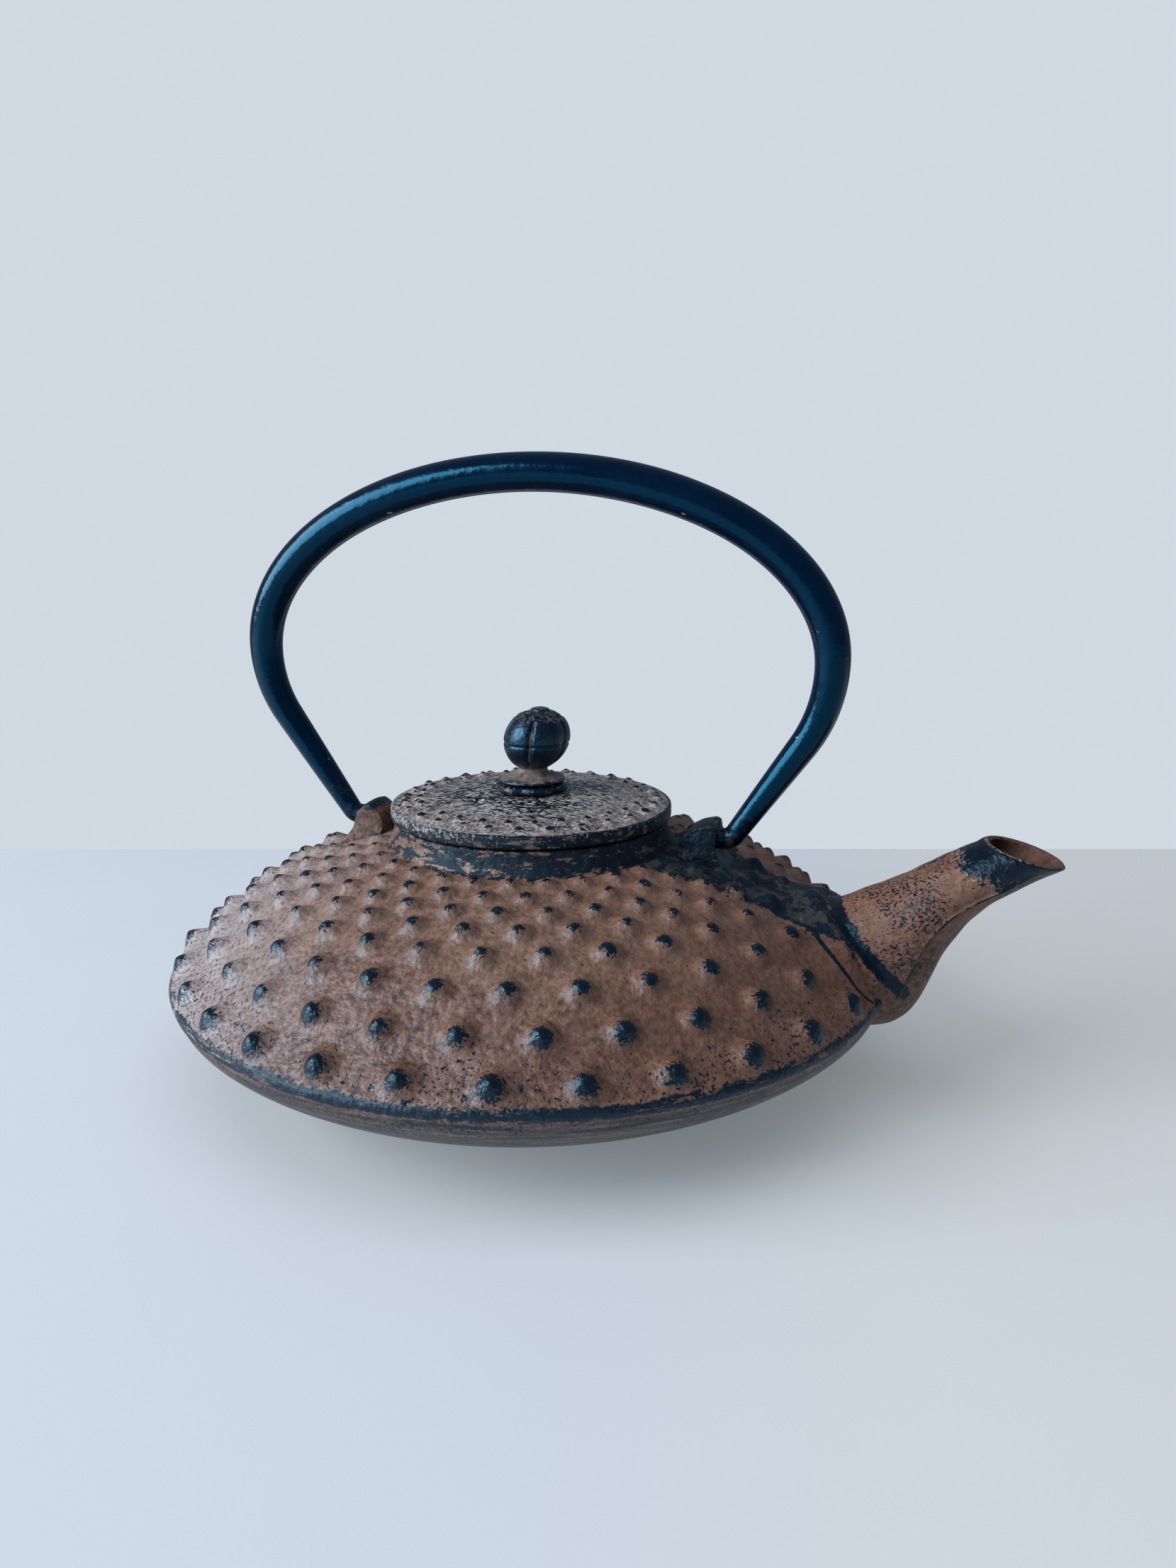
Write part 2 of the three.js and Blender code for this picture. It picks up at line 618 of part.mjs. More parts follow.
function lidKnob() {
  const rivetTop = WASHER_TOP_Z - WASHER_THICKNESS - GAP;
  const plain = (radius, z) => levelRing(radius, z, 20, radians(KNOB_FIRST_GROOVE));
  const stem = [
    pointRing(0, rivetTop - RIVET_DEPTH),
    ...RIVET_END.map(([radius, lift]) => plain(radius, rivetTop + lift)),
    plain(STEM_RADIUS, rivetTop),
    plain(STEM_RADIUS, KNOB_BOTTOM_Z),
  ];
  const head = KNOB_FOOT.map(([radius, lift]) => plain(radius, KNOB_BOTTOM_Z + lift));
  for (const latitude of KNOB_LATITUDES) {
    const angle = radians(latitude);
    head.push(knobRing(KNOB_RADIUS * Math.cos(angle), KNOB_CENTRE_Z + KNOB_HALF_HEIGHT * Math.sin(angle)));
  }
  const capZ = KNOB_CENTRE_Z + KNOB_HALF_HEIGHT * Math.sin(radians(KNOB_CAP_LATITUDE));
  head.push(...KNOB_CAP.map(([radius, lift]) => plain(radius, capZ + lift)));
  head.push(pointRing(0, KNOB_CENTRE_Z + KNOB_HALF_HEIGHT));
  return loft([...stem, ...leaned(head)]);
}

function rivetWasher() {
  const bottom = WASHER_TOP_Z - WASHER_THICKNESS;
  return turned([
    [STEM_HOLE, bottom],
    [WASHER_RADIUS, bottom],
    [WASHER_RADIUS, WASHER_TOP_Z],
    [STEM_HOLE, WASHER_TOP_Z],
  ], 32);
}

// ---- Tea basket ----

const COLLAR_INNER = BASKET_RADIUS + GAP;

function infuserRim() {
  const bottom = LEDGE_Z + GAP;
  return turned([
    [COLLAR_INNER, RIM_COLLAR_BOTTOM_Z],
    [COLLAR_INNER + RIM_SHEET, RIM_COLLAR_BOTTOM_Z],
    [COLLAR_INNER + RIM_SHEET, bottom],
    [RIM_FLANGE_RADIUS, bottom],
    [RIM_FLANGE_RADIUS, bottom + RIM_SHEET],
    [COLLAR_INNER, bottom + RIM_SHEET],
  ], 48);
}

function infuserBasket() {
  const inner = BASKET_RADIUS - BASKET_SHEET;
  const bottom = BASKET_BOTTOM_Z + RIM_SHEET + GAP;
  return turned([
    [inner, bottom],
    [BASKET_RADIUS, bottom],
    [BASKET_RADIUS, BASKET_TOP_Z],
    [inner, BASKET_TOP_Z],
  ], 48);
}

function infuserBase() {
  const floorTop = BASKET_BOTTOM_Z + RIM_SHEET;
  return turned([
    [0, BASKET_BOTTOM_Z],
    [COLLAR_INNER + RIM_SHEET - 1, BASKET_BOTTOM_Z],
    [COLLAR_INNER + RIM_SHEET, BASKET_BOTTOM_Z + 1],
    [COLLAR_INNER + RIM_SHEET, floorTop + BASE_UPTURN],
    [COLLAR_INNER, floorTop + BASE_UPTURN],
    [COLLAR_INNER, floorTop],
    [0, floorTop],
  ], 48);
}

// ---- Assembly ----

function piece(name, geometry, material) {
  geometry.computeVertexNormals();
  const mesh = new THREE.Mesh(geometry, material);
  mesh.name = name;
  return mesh;
}

const envelope = potEnvelope();
const bore = spoutBore();

const pot = new THREE.Group();
pot.add(piece('pot_body', potBody(bore), BROWN_IRON));
pot.add(piece('spout', spoutBody(envelope), SPOUT_IRON));
pot.add(piece('front_lug', lug(1, envelope), BROWN_IRON));
pot.add(piece('rear_lug', lug(-1, envelope), BROWN_IRON));

const bail = new THREE.Group();
bail.add(piece('bail_handle', bailHandle(), BLACK_IRON));

const infuser = new THREE.Group();
infuser.add(piece('infuser_rim', infuserRim(), STEEL));
infuser.add(piece('infuser_basket', infuserBasket(), STEEL));
infuser.add(piece('infuser_base', infuserBase(), STEEL));

const cover = new THREE.Group();
cover.add(piece('lid', lid(), LID_IRON));
cover.add(piece('knob_seat', knobSeat(), BLACK_IRON));
cover.add(piece('rivet_washer', rivetWasher(), STEEL));
cover.add(piece('lid_knob', lidKnob(), BLACK_IRON));

const teapot = new THREE.Group();
teapot.add(pot, bail, infuser, cover);

export default teapot;
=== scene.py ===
# A cast iron teapot with a hobnailed shoulder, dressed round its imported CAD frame.
# Shapes are worked out in millimetres, in the row frame, and scaled to metres as each mesh is made.

import math

import bpy
import numpy as np
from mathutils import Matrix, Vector
from mathutils.bvhtree import BVHTree
from mathutils.geometry import delaunay_2d_cdt


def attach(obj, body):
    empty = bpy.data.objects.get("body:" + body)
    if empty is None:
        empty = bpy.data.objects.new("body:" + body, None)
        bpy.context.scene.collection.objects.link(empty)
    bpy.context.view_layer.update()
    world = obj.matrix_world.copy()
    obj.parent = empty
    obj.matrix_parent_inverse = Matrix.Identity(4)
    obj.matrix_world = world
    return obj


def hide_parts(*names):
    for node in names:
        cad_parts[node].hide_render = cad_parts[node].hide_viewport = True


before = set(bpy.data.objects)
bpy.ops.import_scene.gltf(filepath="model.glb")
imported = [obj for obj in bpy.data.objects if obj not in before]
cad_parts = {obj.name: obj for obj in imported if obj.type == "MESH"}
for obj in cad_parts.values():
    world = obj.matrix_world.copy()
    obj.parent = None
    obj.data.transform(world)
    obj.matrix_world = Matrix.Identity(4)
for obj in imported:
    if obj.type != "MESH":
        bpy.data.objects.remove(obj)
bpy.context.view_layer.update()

MM = 0.001

# ---- Driving dimensions, in millimetres and degrees, as in the CAD part ----

BODY_RADIUS = 90
EQUATOR_Z = 27
RIDGE_HALF = 2
RIDGE_DEPTH = 1.3
FOOT_RADIUS = 42
SHOULDER = ((88.7, 29), (71.9, 42.7), (66.6, 50.8), (35.8, 57.7))
LOWER_BOWL = ((88.7, 25), (88.5, 17.7), (59.9, 3.3), (42, 3))
NECK_RADIUS = 34.5
NECK_TOP_Z = 63.5
CAVITY = (
    (32.6, 63.1), (32.6, 58.5), (29.8, 58.5), (29.8, 55.2), (34, 53.7), (46, 51.4), (58, 46.4),
    (68, 40.3), (77, 33.2), (84.4, 27), (80.5, 20.6), (71, 15), (58, 10), (43, 7),
)
NAIL_ROWS = (85.8, 78, 70.2, 62.6, 56.2, 50.6, 44.9, 39.3)
NAILS_PER_ROW = 30
NAIL_HEIGHT = 3.3
INNER_NAIL_HEIGHT = 1.8
NAIL_TWIST = 0.6
NAIL_STAGGER = 6
NAIL_ROUNDING = 0.28
NAIL_REACH = 1.05
NAIL_POWER = 1.12
NAIL_BARE = (0.49, 0.58, 0.64, 0.7, 0.73)
SWELL_HEIGHT = 4.9
SWELL_REACH = 11

SPOUT_CREST = ((62, 41), (75, 46.2), (84, 50.6), (91.9, 54.5), (98, 58), (103.6, 61.3), (109.4, 64.3))
SPOUT_KEEL = ((72, 15.8), (90, 18), (96.8, 24.5), (102, 36.8), (107.8, 46), (115, 52.2), (127.2, 59.4))
SPOUT_HALF_WIDTHS = (16.5, 15, 13.2, 11.6, 10.3, 9.6, 9.5)
SPOUT_ROOT_WALL = 4.5
SPOUT_LIP_WALL = 1.5
SPOUT_SINK = 2.5
COLLAR_CREST_END = 0.17
COLLAR_KEEL_END = 0.33
COLLAR_STEP = 0.9

PIVOT_Z = 60.5
PIN_TIP = 41.2
PIN_RADIUS = 2.6
PIN_HOLE = 2.9
LUG_HALF_WIDTH = 5.3
LUG_BEVEL = 1
LUG_DISH = 1.4
GRIP_RADIUS = 4.7
TAPER_FROM_Z = 62
BAIL_HALF_SPAN = 72.7
BAIL_RISE = 43.6
BAIL_SPRING_Z = 104
BAIL_HIP_RADII = (35, 31)
BAIL_LEG_ANGLE = 34.5
BAIL_OFFSET = 0.6
HOOK_RADIUS = 3.2

LID_RADIUS = 35.3
LID_UNDERSIDE_Z = 63.9
LID_EDGE_Z = 67
LID_CROWN_Z = 69.6
LID_NAIL_RINGS = (31.7, 28)
LID_NAILS = 28
LID_NAIL_HEIGHT = 1.25
SKIRT_RADIUS = 31.8
SKIRT_WALL = 2
SKIRT_BOTTOM_Z = 59.9
LID_THICKNESS = 3.2
VENT_RADIUS = 1.5
VENT_PLACE = (-10.1, -12)

STEM_RADIUS = 2.5
STEM_HOLE = 2.9
SEAT_RADIUS = 9.4
SEAT_BOTTOM_Z = 69.9
SEAT_TOP_Z = 72.2
KNOB_BOTTOM_Z = 72.5
KNOB_RADIUS = 8.3
KNOB_CENTRE_Z = 83
KNOB_HALF_HEIGHT = 8
KNOB_LEAN = 1.4
KNOB_GROOVES = 5
KNOB_FIRST_GROOVE = -13
KNOB_CAP_LATITUDE = 38
WASHER_RADIUS = 7
WASHER_TOP_Z = 66.1
WASHER_THICKNESS = 1.2

BASKET_RADIUS = 24
BASKET_SHEET = 0.6
BASKET_TOP_Z = 59.4
BASKET_FLOOR_Z = 14
RIM_FLANGE_RADIUS = 32.2
RIM_SHEET = 0.8
RIM_COLLAR_BOTTOM_Z = 52.5
RIM_BOTTOM_Z = 58.8
BASE_UPTURN = 4
MESH_HOLE_RADIUS = 0.62

# How finely the larger pieces are divided
POT_COLUMNS = 540
RING_SPACING = 0.76
SPOUT_COLUMNS = 144
SPOUT_STATIONS = 130
RING_COLUMNS = 96
FLOOR_SIDES = 72

# ---- Curves and grids ----


def smoothstep(low, high, value):
    t = np.clip((np.asarray(value, float) - low) / (high - low), 0, 1)
    return t * t * (3 - 2 * t)


def bump_at(value, centre, half_width):
    """A smooth hump of height 1 round a centre."""
    return np.exp(-(((np.asarray(value, float) - centre) / half_width) ** 2))


def bezier(controls, count):
    t = np.linspace(0, 1, count)[:, None]
    a, b, c, d = (np.array(p, float) for p in controls)
    return a * (1 - t) ** 3 + 3 * b * t * (1 - t) ** 2 + 3 * c * t**2 * (1 - t) + d * t**3


def spline(points, share):
    """The uniform Catmull-Rom curve through points, at shares of its length of 0 to 1."""
    p = np.array(points, float)
    if p.ndim == 1:
        p = p[:, None]
    place = np.clip(np.asarray(share, float), 0, 1) * (len(p) - 1)
    index = np.minimum(place.astype(int), len(p) - 2)
    w = (place - index)[..., None]
    p0 = p[np.maximum(index - 1, 0)]
    p1 = p[index]
    p2 = p[index + 1]
    p3 = p[np.minimum(index + 2, len(p) - 1)]
    v0 = (p2 - p0) / 2
    v1 = (p3 - p1) / 2
    cubic = (2 * p1 - 2 * p2 + v0 + v1) * w**3 + (-3 * p1 + 3 * p2 - 2 * v0 - v1) * w**2
    return cubic + v0 * w + p1


def resample(points, spacing):
    """Points about spacing apart along a broken line, its own corners kept."""
    made = [points[0]]
    for start, end in zip(points[:-1], points[1:]):
        steps = max(1, round(math.dist(start, end) / spacing))
        for step in range(1, steps + 1):
            made.append(tuple(np.array(start) + (np.array(end) - np.array(start)) * step / steps))
    return made


def rounded(profile, radius, steps=4):
    """A profile with its corners rounded off. The first and last points stay."""
    made = [tuple(profile[0])]
    for before, corner, after in zip(profile[:-2], profile[1:-1], profile[2:]):
        corner = np.array(corner, float)
        sides = np.array((before, after), float) - corner
        lengths = np.linalg.norm(sides, axis=1)[:, None]
        start, end = corner + sides / lengths * min(radius, lengths.min() * 0.45)
        for step in range(steps + 1):
            t = step / steps
            made.append(tuple(start * (1 - t) ** 2 + 2 * corner * t * (1 - t) + end * t**2))
    made.append(tuple(profile[-1]))
    return made


def add_object(name, data):
    made = bpy.data.objects.new(name, data)
    bpy.context.scene.collection.objects.link(made)
    return made


def make_mesh(name, vertices, faces, attributes=None, sharp_degrees=40):
    """An object from millimetre points, smooth-shaded apart from its sharp edges."""
    mesh = bpy.data.meshes.new(name)
    mesh.from_pydata((np.asarray(vertices) * MM).tolist(), [], faces)
    for key, values in (attributes or {}).items():
        layer = mesh.attributes.new(key, "FLOAT", "POINT")
        layer.data.foreach_set("value", np.asarray(values, np.float32).ravel())
    mesh.validate()
    mesh.shade_smooth()
    mesh.set_sharp_from_angle(angle=math.radians(sharp_degrees))
    return add_object(name, mesh)


def grid_faces(rows, columns, wrap_rows=False):
    """Squares between rings of equal counts."""
    faces = []
    for row in range(rows if wrap_rows else rows - 1):
        a, b = row * columns, ((row + 1) % rows) * columns
        for column in range(columns):
            following = (column + 1) % columns
            faces.append((a + column, a + following, b + following, b + column))
    return faces


def lathe(name, grid, attributes=None, poles=(None, None), wrap=False, sharp_degrees=40):
    """An object through a grid of rings, closed by a point at each end or joined round on itself."""
    rows, columns, _ = grid.shape
    vertices = grid.reshape(-1, 3)
    faces = grid_faces(rows, columns, wrap)
    attributes = {key: np.asarray(values, float).ravel() for key, values in (attributes or {}).items()}
    for end, pole in enumerate(poles):
        if pole is None:
            continue
        vertices = np.vstack([vertices, np.array(pole, float)[None]])
        centre = len(vertices) - 1
        start = (rows - 1) * columns if end else 0
        for column in range(columns):
            here, following = start + column, start + (column + 1) % columns
            faces.append((here, following, centre) if end else (following, here, centre))
        for key in attributes:
            attributes[key] = np.append(attributes[key], attributes[key][start])
    return make_mesh(name, vertices, faces, attributes, sharp_degrees)


def turn(profile, angles):
    """A grid of rings from a profile of radius and height."""
    radius = np.array([p[0] for p in profile], float)[:, None]
    z = np.array([p[1] for p in profile], float)[:, None]
    return np.stack([radius * np.cos(angles), radius * np.sin(angles), z + 0 * angles], axis=-1)


def circle(count, start_degrees=-90):
    return np.radians(start_degrees) + np.arange(count) * 2 * math.pi / count


def cut(target, cutter):
    """Takes the cutter out of the target and removes it."""
    modifier = target.modifiers.new("cut", "BOOLEAN")
    modifier.operation = "DIFFERENCE"
    modifier.solver = "MANIFOLD"
    modifier.object = cutter
    bpy.context.view_layer.update()
    evaluated = target.evaluated_get(bpy.context.evaluated_depsgraph_get())
    mesh = bpy.data.meshes.new_from_object(evaluated)
    target.modifiers.clear()
    target.data = mesh
    bpy.data.objects.remove(cutter)
    return target


def drill(target, axis, centre, stations, sides=40):
    """Cuts a round hole along an axis, through stations of place along it and radius."""
    angles = circle(sides, 0)
    rings = []
    for place, radius in stations:
        turned = [centre[0] + radius * np.cos(angles), centre[1] + radius * np.sin(angles)]
        turned.insert(axis, np.full(len(angles), place))
        rings.append(np.stack(turned, -1))
    rings = np.array(rings)
    return cut(target, lathe("drill_cutter", rings, None, (rings[0].mean(0), rings[-1].mean(0))))


# ---- Spout surfaces, which the pot's skin needs too ----


def spout_point(share, angle, growth):
    """A point of the spout at a share of its length and an angle from the crest, grown by growth."""
    crest = spline(SPOUT_CREST, share)
    keel = spline(SPOUT_KEEL, share)
    width = spline(SPOUT_HALF_WIDTHS, share)[..., 0]
    middle = (crest + keel) / 2
    rise = (crest - keel) / 2
    height = np.linalg.norm(rise, axis=-1)
    place = middle + rise / height[..., None] * ((height + growth) * np.cos(angle))[..., None]
    return np.stack([place[..., 0], -(width + growth) * np.sin(angle), place[..., 1]], -1)


def spout_wall(share):
    return SPOUT_ROOT_WALL + (SPOUT_LIP_WALL - SPOUT_ROOT_WALL) * np.minimum(1, np.asarray(share) * 1.2)


shoulder_line = bezier(SHOULDER, 2001)
lower_line = bezier(LOWER_BOWL, 401)


def pot_outside(radius, z, inset):
    """How far a point is outside the pot's plain skin, drawn in by inset. Negative means inside."""
    top = np.interp(radius, shoulder_line[::-1, 0], shoulder_line[::-1, 1])
    bottom = np.interp(radius, lower_line[::-1, 0], lower_line[::-1, 1])
    return np.maximum.reduce([z - top + inset, bottom - z + inset, radius - BODY_RADIUS + inset])


def root_share(growth):
    """The share of the length, for each angle, where the grown spout sinks into the pot's skin."""
    shares = np.linspace(0, 0.6, 1201)
    starts = []
    for angle in spout_angles:
        points = spout_point(shares, np.full_like(shares, angle), growth(shares))
        outside = pot_outside(np.hypot(points[:, 0], points[:, 1]), points[:, 2], SPOUT_SINK)
        inside = np.nonzero(outside <= 0)[0]
        starts.append(shares[inside[-1]] if len(inside) else 0.0)
    return np.array(starts)


spout_angles = circle(SPOUT_COLUMNS, 0)


def spout_skin_grid():
    """The spout's outer surface from inside the pot's wall to the lip, and where its markings run."""
    start = root_share(np.zeros_like)
    share = start[None] + (1 - start[None]) * np.linspace(0, 1, SPOUT_STATIONS)[:, None]
    angle = np.broadcast_to(spout_angles, share.shape)
    keel_part = (1 - np.cos(angle)) / 2
    past = share - COLLAR_CREST_END - (COLLAR_KEEL_END - COLLAR_CREST_END) * keel_part
    from_crest = np.degrees(np.arccos(np.cos(angle)))
    reach = 1 - smoothstep(90, 125, from_crest)
    collar = COLLAR_STEP * (1 - smoothstep(-0.004, 0.02, past)) * reach
    bead = 0.35 * bump_at(past, -0.012, 0.014) * reach
    seam_run = smoothstep(0.2, 0.3, share) * (1 - smoothstep(0.86, 0.97, share))
    seam = bump_at(from_crest, 116 + 8 * np.sin(share * 9), 3.2) * seam_run
    belly = 0.35 * smoothstep(118, 128, from_crest) * seam_run
    lip = 0.25 * smoothstep(0.93, 0.985, share)
    uneven = 0.12 * np.sin(share * 31 + 2 * np.cos(angle * 3)) * np.sin(angle * 5 + share * 17)
    growth = collar + bead + 0.55 * seam + belly + lip + uneven * (1 - lip * 4)
    return spout_point(share, angle, growth), share, angle, past, from_crest, seam


spout_grid, spout_shares, spout_turns, past_collar, from_crest_degrees, seam_line = spout_skin_grid()


def bore_grid(share, angles):
    """Rings of the spout's inner surface at a grid of shares."""
    return spout_point(share, np.broadcast_to(angles, share.shape), -spout_wall(share))


# ---- Pot ----


def nail_stands(radius, angle):
    """Whether a nail is cast here: none are under the spout's root or the lugs."""
    x = radius * math.cos(angle)
    y = abs(radius * math.sin(angle))
    reach = 7 + 15 * math.sqrt((radius - 66) / (BODY_RADIUS - 66)) if radius > 66 else 0
    return not (x > 0 and y < reach) and not (y < 7.8 and 36 < radius < 53)


def turn_from(angles, angle):
    """Each angle's turn from angle, within half a turn either way."""
    return (angles - angle + math.pi) % (2 * math.pi) - math.pi


def nail_profile(share):
    """A round-tipped cone with a soft foot: 1 at the tip and 0 at the foot's edge."""
    t = np.sqrt(share**2 + NAIL_ROUNDING**2)
    return np.clip((NAIL_REACH - t) / (NAIL_REACH - NAIL_ROUNDING), 0, 1) ** NAIL_POWER


def nail_field(arc, row_arcs, radius, angles):
    """Height and painted-tip value of the nails over the shoulder's rings, which are at arc."""
    height = np.zeros((len(arc), len(angles)))
    tip = np.full(height.shape, -1.0)
    rng = np.random.default_rng(7)
    for row, (row_radius, row_arc) in enumerate(zip(NAIL_ROWS, row_arcs)):
        outer = (row_radius - NAIL_ROWS[-1]) / (NAIL_ROWS[0] - NAIL_ROWS[-1])
        tallest = INNER_NAIL_HEIGHT + (NAIL_HEIGHT - INNER_NAIL_HEIGHT) * outer
        foot = 3 + 1.5 * outer
        bare = NAIL_BARE[min(row, 4)]
        droop = 0.7 if row < 2 else 0
        rows = np.abs(arc - row_arc) < foot * 1.3
        du = (arc[rows] - row_arc)[:, None]
        for nail in range(NAILS_PER_ROW):
            stagger = NAIL_STAGGER * (row % 2)
            angle = math.radians(-90 + NAIL_TWIST * row + stagger) + nail * 2 * math.pi / NAILS_PER_ROW
            rise = tallest * rng.uniform(0.9, 1.05)
            wear = bare + rng.uniform(-0.09, 0.09)
            if not nail_stands(row_radius, angle):
                continue
            across = turn_from(angles, angle)
            near = np.abs(across) * row_radius < foot * 1.3
            dv = across[near][None] * radius[rows][:, None]
            block = np.ix_(rows, near)
            height[block] = np.maximum(height[block], rise * nail_profile(np.hypot(du, dv) / foot))
            tip[block] = np.maximum(tip[block], nail_profile(np.hypot(du + droop, dv) / foot) - wear)
    return height, tip


def spout_swell(radius, z, angles):
    """How far the shoulder rises to meet the spout, and the distance to the spout (99 far from it)."""
    spout_tree = BVHTree.FromPolygons(
        [Vector(p) for p in spout_grid.reshape(-1, 3)], grid_faces(SPOUT_STATIONS, SPOUT_COLUMNS)
    )
    swell = np.zeros((len(z), len(angles)))
    gap = np.full(swell.shape, 99.0)
    for i in range(len(z)):
        rise = SWELL_HEIGHT * float(smoothstep(28.5, 38, z[i]))
        x, y = radius[i] * np.cos(angles), radius[i] * np.sin(angles)
        for j in np.nonzero((x > 52) & (np.abs(y) < 34))[0]:
            point = Vector((x[j], y[j], z[i]))
            near, outward, _, distance = spout_tree.find_nearest(point)
            gap[i, j] = distance if (point - near).dot(outward) > 0 else 0.0
            swell[i, j] = rise * max(0.0, 1 - gap[i, j] / SWELL_REACH) ** 2.2
    return swell, gap


def pot_below(angles):
    """The rings from the foot up to the top of the equator's ridge."""
    lower = [tuple(p) for p in lower_line[::-16][:-1]]
    ridge = []
    for step in range(8):
        share = -1 + step / 4
        bulge = math.cos(share * math.pi / 2) ** 0.7 if abs(share) < 1 else 0
        ridge.append((BODY_RADIUS - RIDGE_DEPTH * (1 - bulge), EQUATOR_Z + RIDGE_HALF * share))
    foot = [(36, 0), (FOOT_RADIUS - 1, 0), (FOOT_RADIUS, 0.8), lower[0]]
    below = turn(rounded(foot, 0.5, 3)[:-1] + lower + ridge, angles)
    wobble = 0.12 * np.sin(angles * 7 + 1) + 0.08 * np.sin(angles * 17 + 2)
    on_ridge = bump_at(below[:, 0, 2], EQUATOR_Z, RIDGE_HALF)[:, None]
    below[..., :2] *= (1 - on_ridge * (0.2 - wobble) / BODY_RADIUS)[..., None]
    return below


def pot_skin():
    angles = circle(POT_COLUMNS)
    steps = np.linalg.norm(np.diff(shoulder_line, axis=0), axis=1)
    lengths = np.concatenate([[0], np.cumsum(steps)])
    arc = np.linspace(0, lengths[-1], int(lengths[-1] / RING_SPACING))
    radius = np.interp(arc, lengths, shoulder_line[:, 0])
    z = np.interp(arc, lengths, shoulder_line[:, 1])
    slope = np.stack([np.gradient(radius, arc), np.gradient(z, arc)], -1)
    slope /= np.linalg.norm(slope, axis=1)[:, None]
    row_arcs = np.interp(-np.array(NAIL_ROWS), -shoulder_line[:, 0], lengths)
    height, tip = nail_field(arc, row_arcs, radius, angles)
    swell, gap = spout_swell(radius, z, angles)
    rise = height * (1 - smoothstep(0.5, 3.5, swell)) + swell
    ring_radius = radius[:, None] + slope[:, 1:2] * rise
    ring_z = z[:, None] - slope[:, 0:1] * rise
    shoulder = np.stack([ring_radius * np.cos(angles), ring_radius * np.sin(angles), ring_z], -1)

    neck = [
        (35.6, 58), (NECK_RADIUS + 0.5, 59.4), (NECK_RADIUS, 61.4),
        (NECK_RADIUS, NECK_TOP_Z), CAVITY[0],
    ]
    above = turn(rounded(neck, 0.9, 4)[:-1], angles)
    inside = turn(resample(rounded(CAVITY, 0.6, 2), 6), angles)
    below = pot_below(angles)

    def marks(on_shoulder, outside, within):
        low, high = np.full(below.shape[:2], outside), np.full(above.shape[:2], outside)
        return np.concatenate([low, on_shoulder, high, np.full(inside.shape[:2], within)])

    attributes = {
        "tip": marks(tip - (rise - height > 2) * 2, -1.0, -1.0),
        "inner": marks(np.zeros_like(tip), 0.0, 1.0),
        "gap": marks(gap, 99.0, 99.0),
    }
    grid = np.concatenate([below, shoulder, above, inside])
    pot = lathe("pot_skin", grid, attributes, ((0, 0, 0), (0, 0, 7)), sharp_degrees=50)
    shares = np.tile(np.linspace(0, 0.34, 12)[:, None], SPOUT_COLUMNS // 3)
    rings = bore_grid(shares, spout_angles[::3])
    return cut(pot, lathe("bore_cutter", rings, None, (rings[0].mean(0), rings[-1].mean(0))))


# ---- Materials ----

INK = (0.0006, 0.0016, 0.0055)
INK_LIT = (0.0024, 0.006, 0.0135)
INK_WORN = (0.0045, 0.009, 0.013)
GREEN_BLACK = (0.022, 0.026, 0.021)
BROWN_BLACK = (0.042, 0.034, 0.026)
BROWN_DEEP = (0.04, 0.02, 0.013)
BROWN = (0.106, 0.052, 0.031)
BROWN_PALE = (0.225, 0.138, 0.1)
BROWN_RED = (0.14, 0.062, 0.032)
DUST = (0.3, 0.27, 0.275)
SILVER = (0.3, 0.31, 0.31)
FLECK_AND_GLINT = (0.46, 0.43, 0.42)
COOL_SHINE = (0.42, 0.74, 1.0)
BLUE_SHINE = (0.06, 0.48, 0.84)
KNOB_SHINE = (0.24, 0.58, 0.9)


def feed(tree, socket, value):
    """Sets a socket from another socket, a number that nodes work out, a plain number or a colour."""
    if isinstance(value, Number):
        value = value.socket
    if isinstance(value, bpy.types.NodeSocket):
        tree.links.new(value, socket)
    else:
        socket.default_value = (*value, 1) if socket.type == "RGBA" else value


def add_node(tree, kind, **inputs):
    """A shader node with its inputs fed by name."""
    made = tree.nodes.new(kind)
    for key, value in inputs.items():
        feed(tree, made.inputs[key], value)
    return made


class Number:
    """A number that shader nodes work out. Masks are 0 to 1, and | keeps the larger of two."""

    def __init__(self, tree, socket):
        self.tree = tree
        self.socket = socket

    def work(self, operation, *others, turned=False):
        made = self.tree.nodes.new("ShaderNodeMath")
        made.operation = operation
        terms = (self, *others)
        for socket, term in zip(made.inputs, terms[::-1] if turned else terms):
            feed(self.tree, socket, term)
        return Number(self.tree, made.outputs[0])

    def __add__(self, other):
        return self.work("ADD", other)

    def __sub__(self, other):
        return self.work("SUBTRACT", other)

    def __rsub__(self, other):
        return self.work("SUBTRACT", other, turned=True)

    def __mul__(self, other):
        return self.work("MULTIPLY", other)

    def __or__(self, other):
        return self.work("MAXIMUM", other)

    def __abs__(self):
        return self.work("ABSOLUTE")

    def step(self, low, high):
        """0 below low and 1 above high, smooth between. Low above high turns it round."""
        made = add_node(self.tree, "ShaderNodeMapRange", Value=self, **{
            "From Min": min(low, high), "From Max": max(low, high),
            "To Min": float(low > high), "To Max": float(low < high),
        })
        made.interpolation_type = "SMOOTHSTEP"
        return Number(self.tree, made.outputs["Result"])

    def hump(self, centre, half_width):
        """1 at the centre and 0 beyond half_width."""
        return abs(self - centre).step(half_width, 0.0)


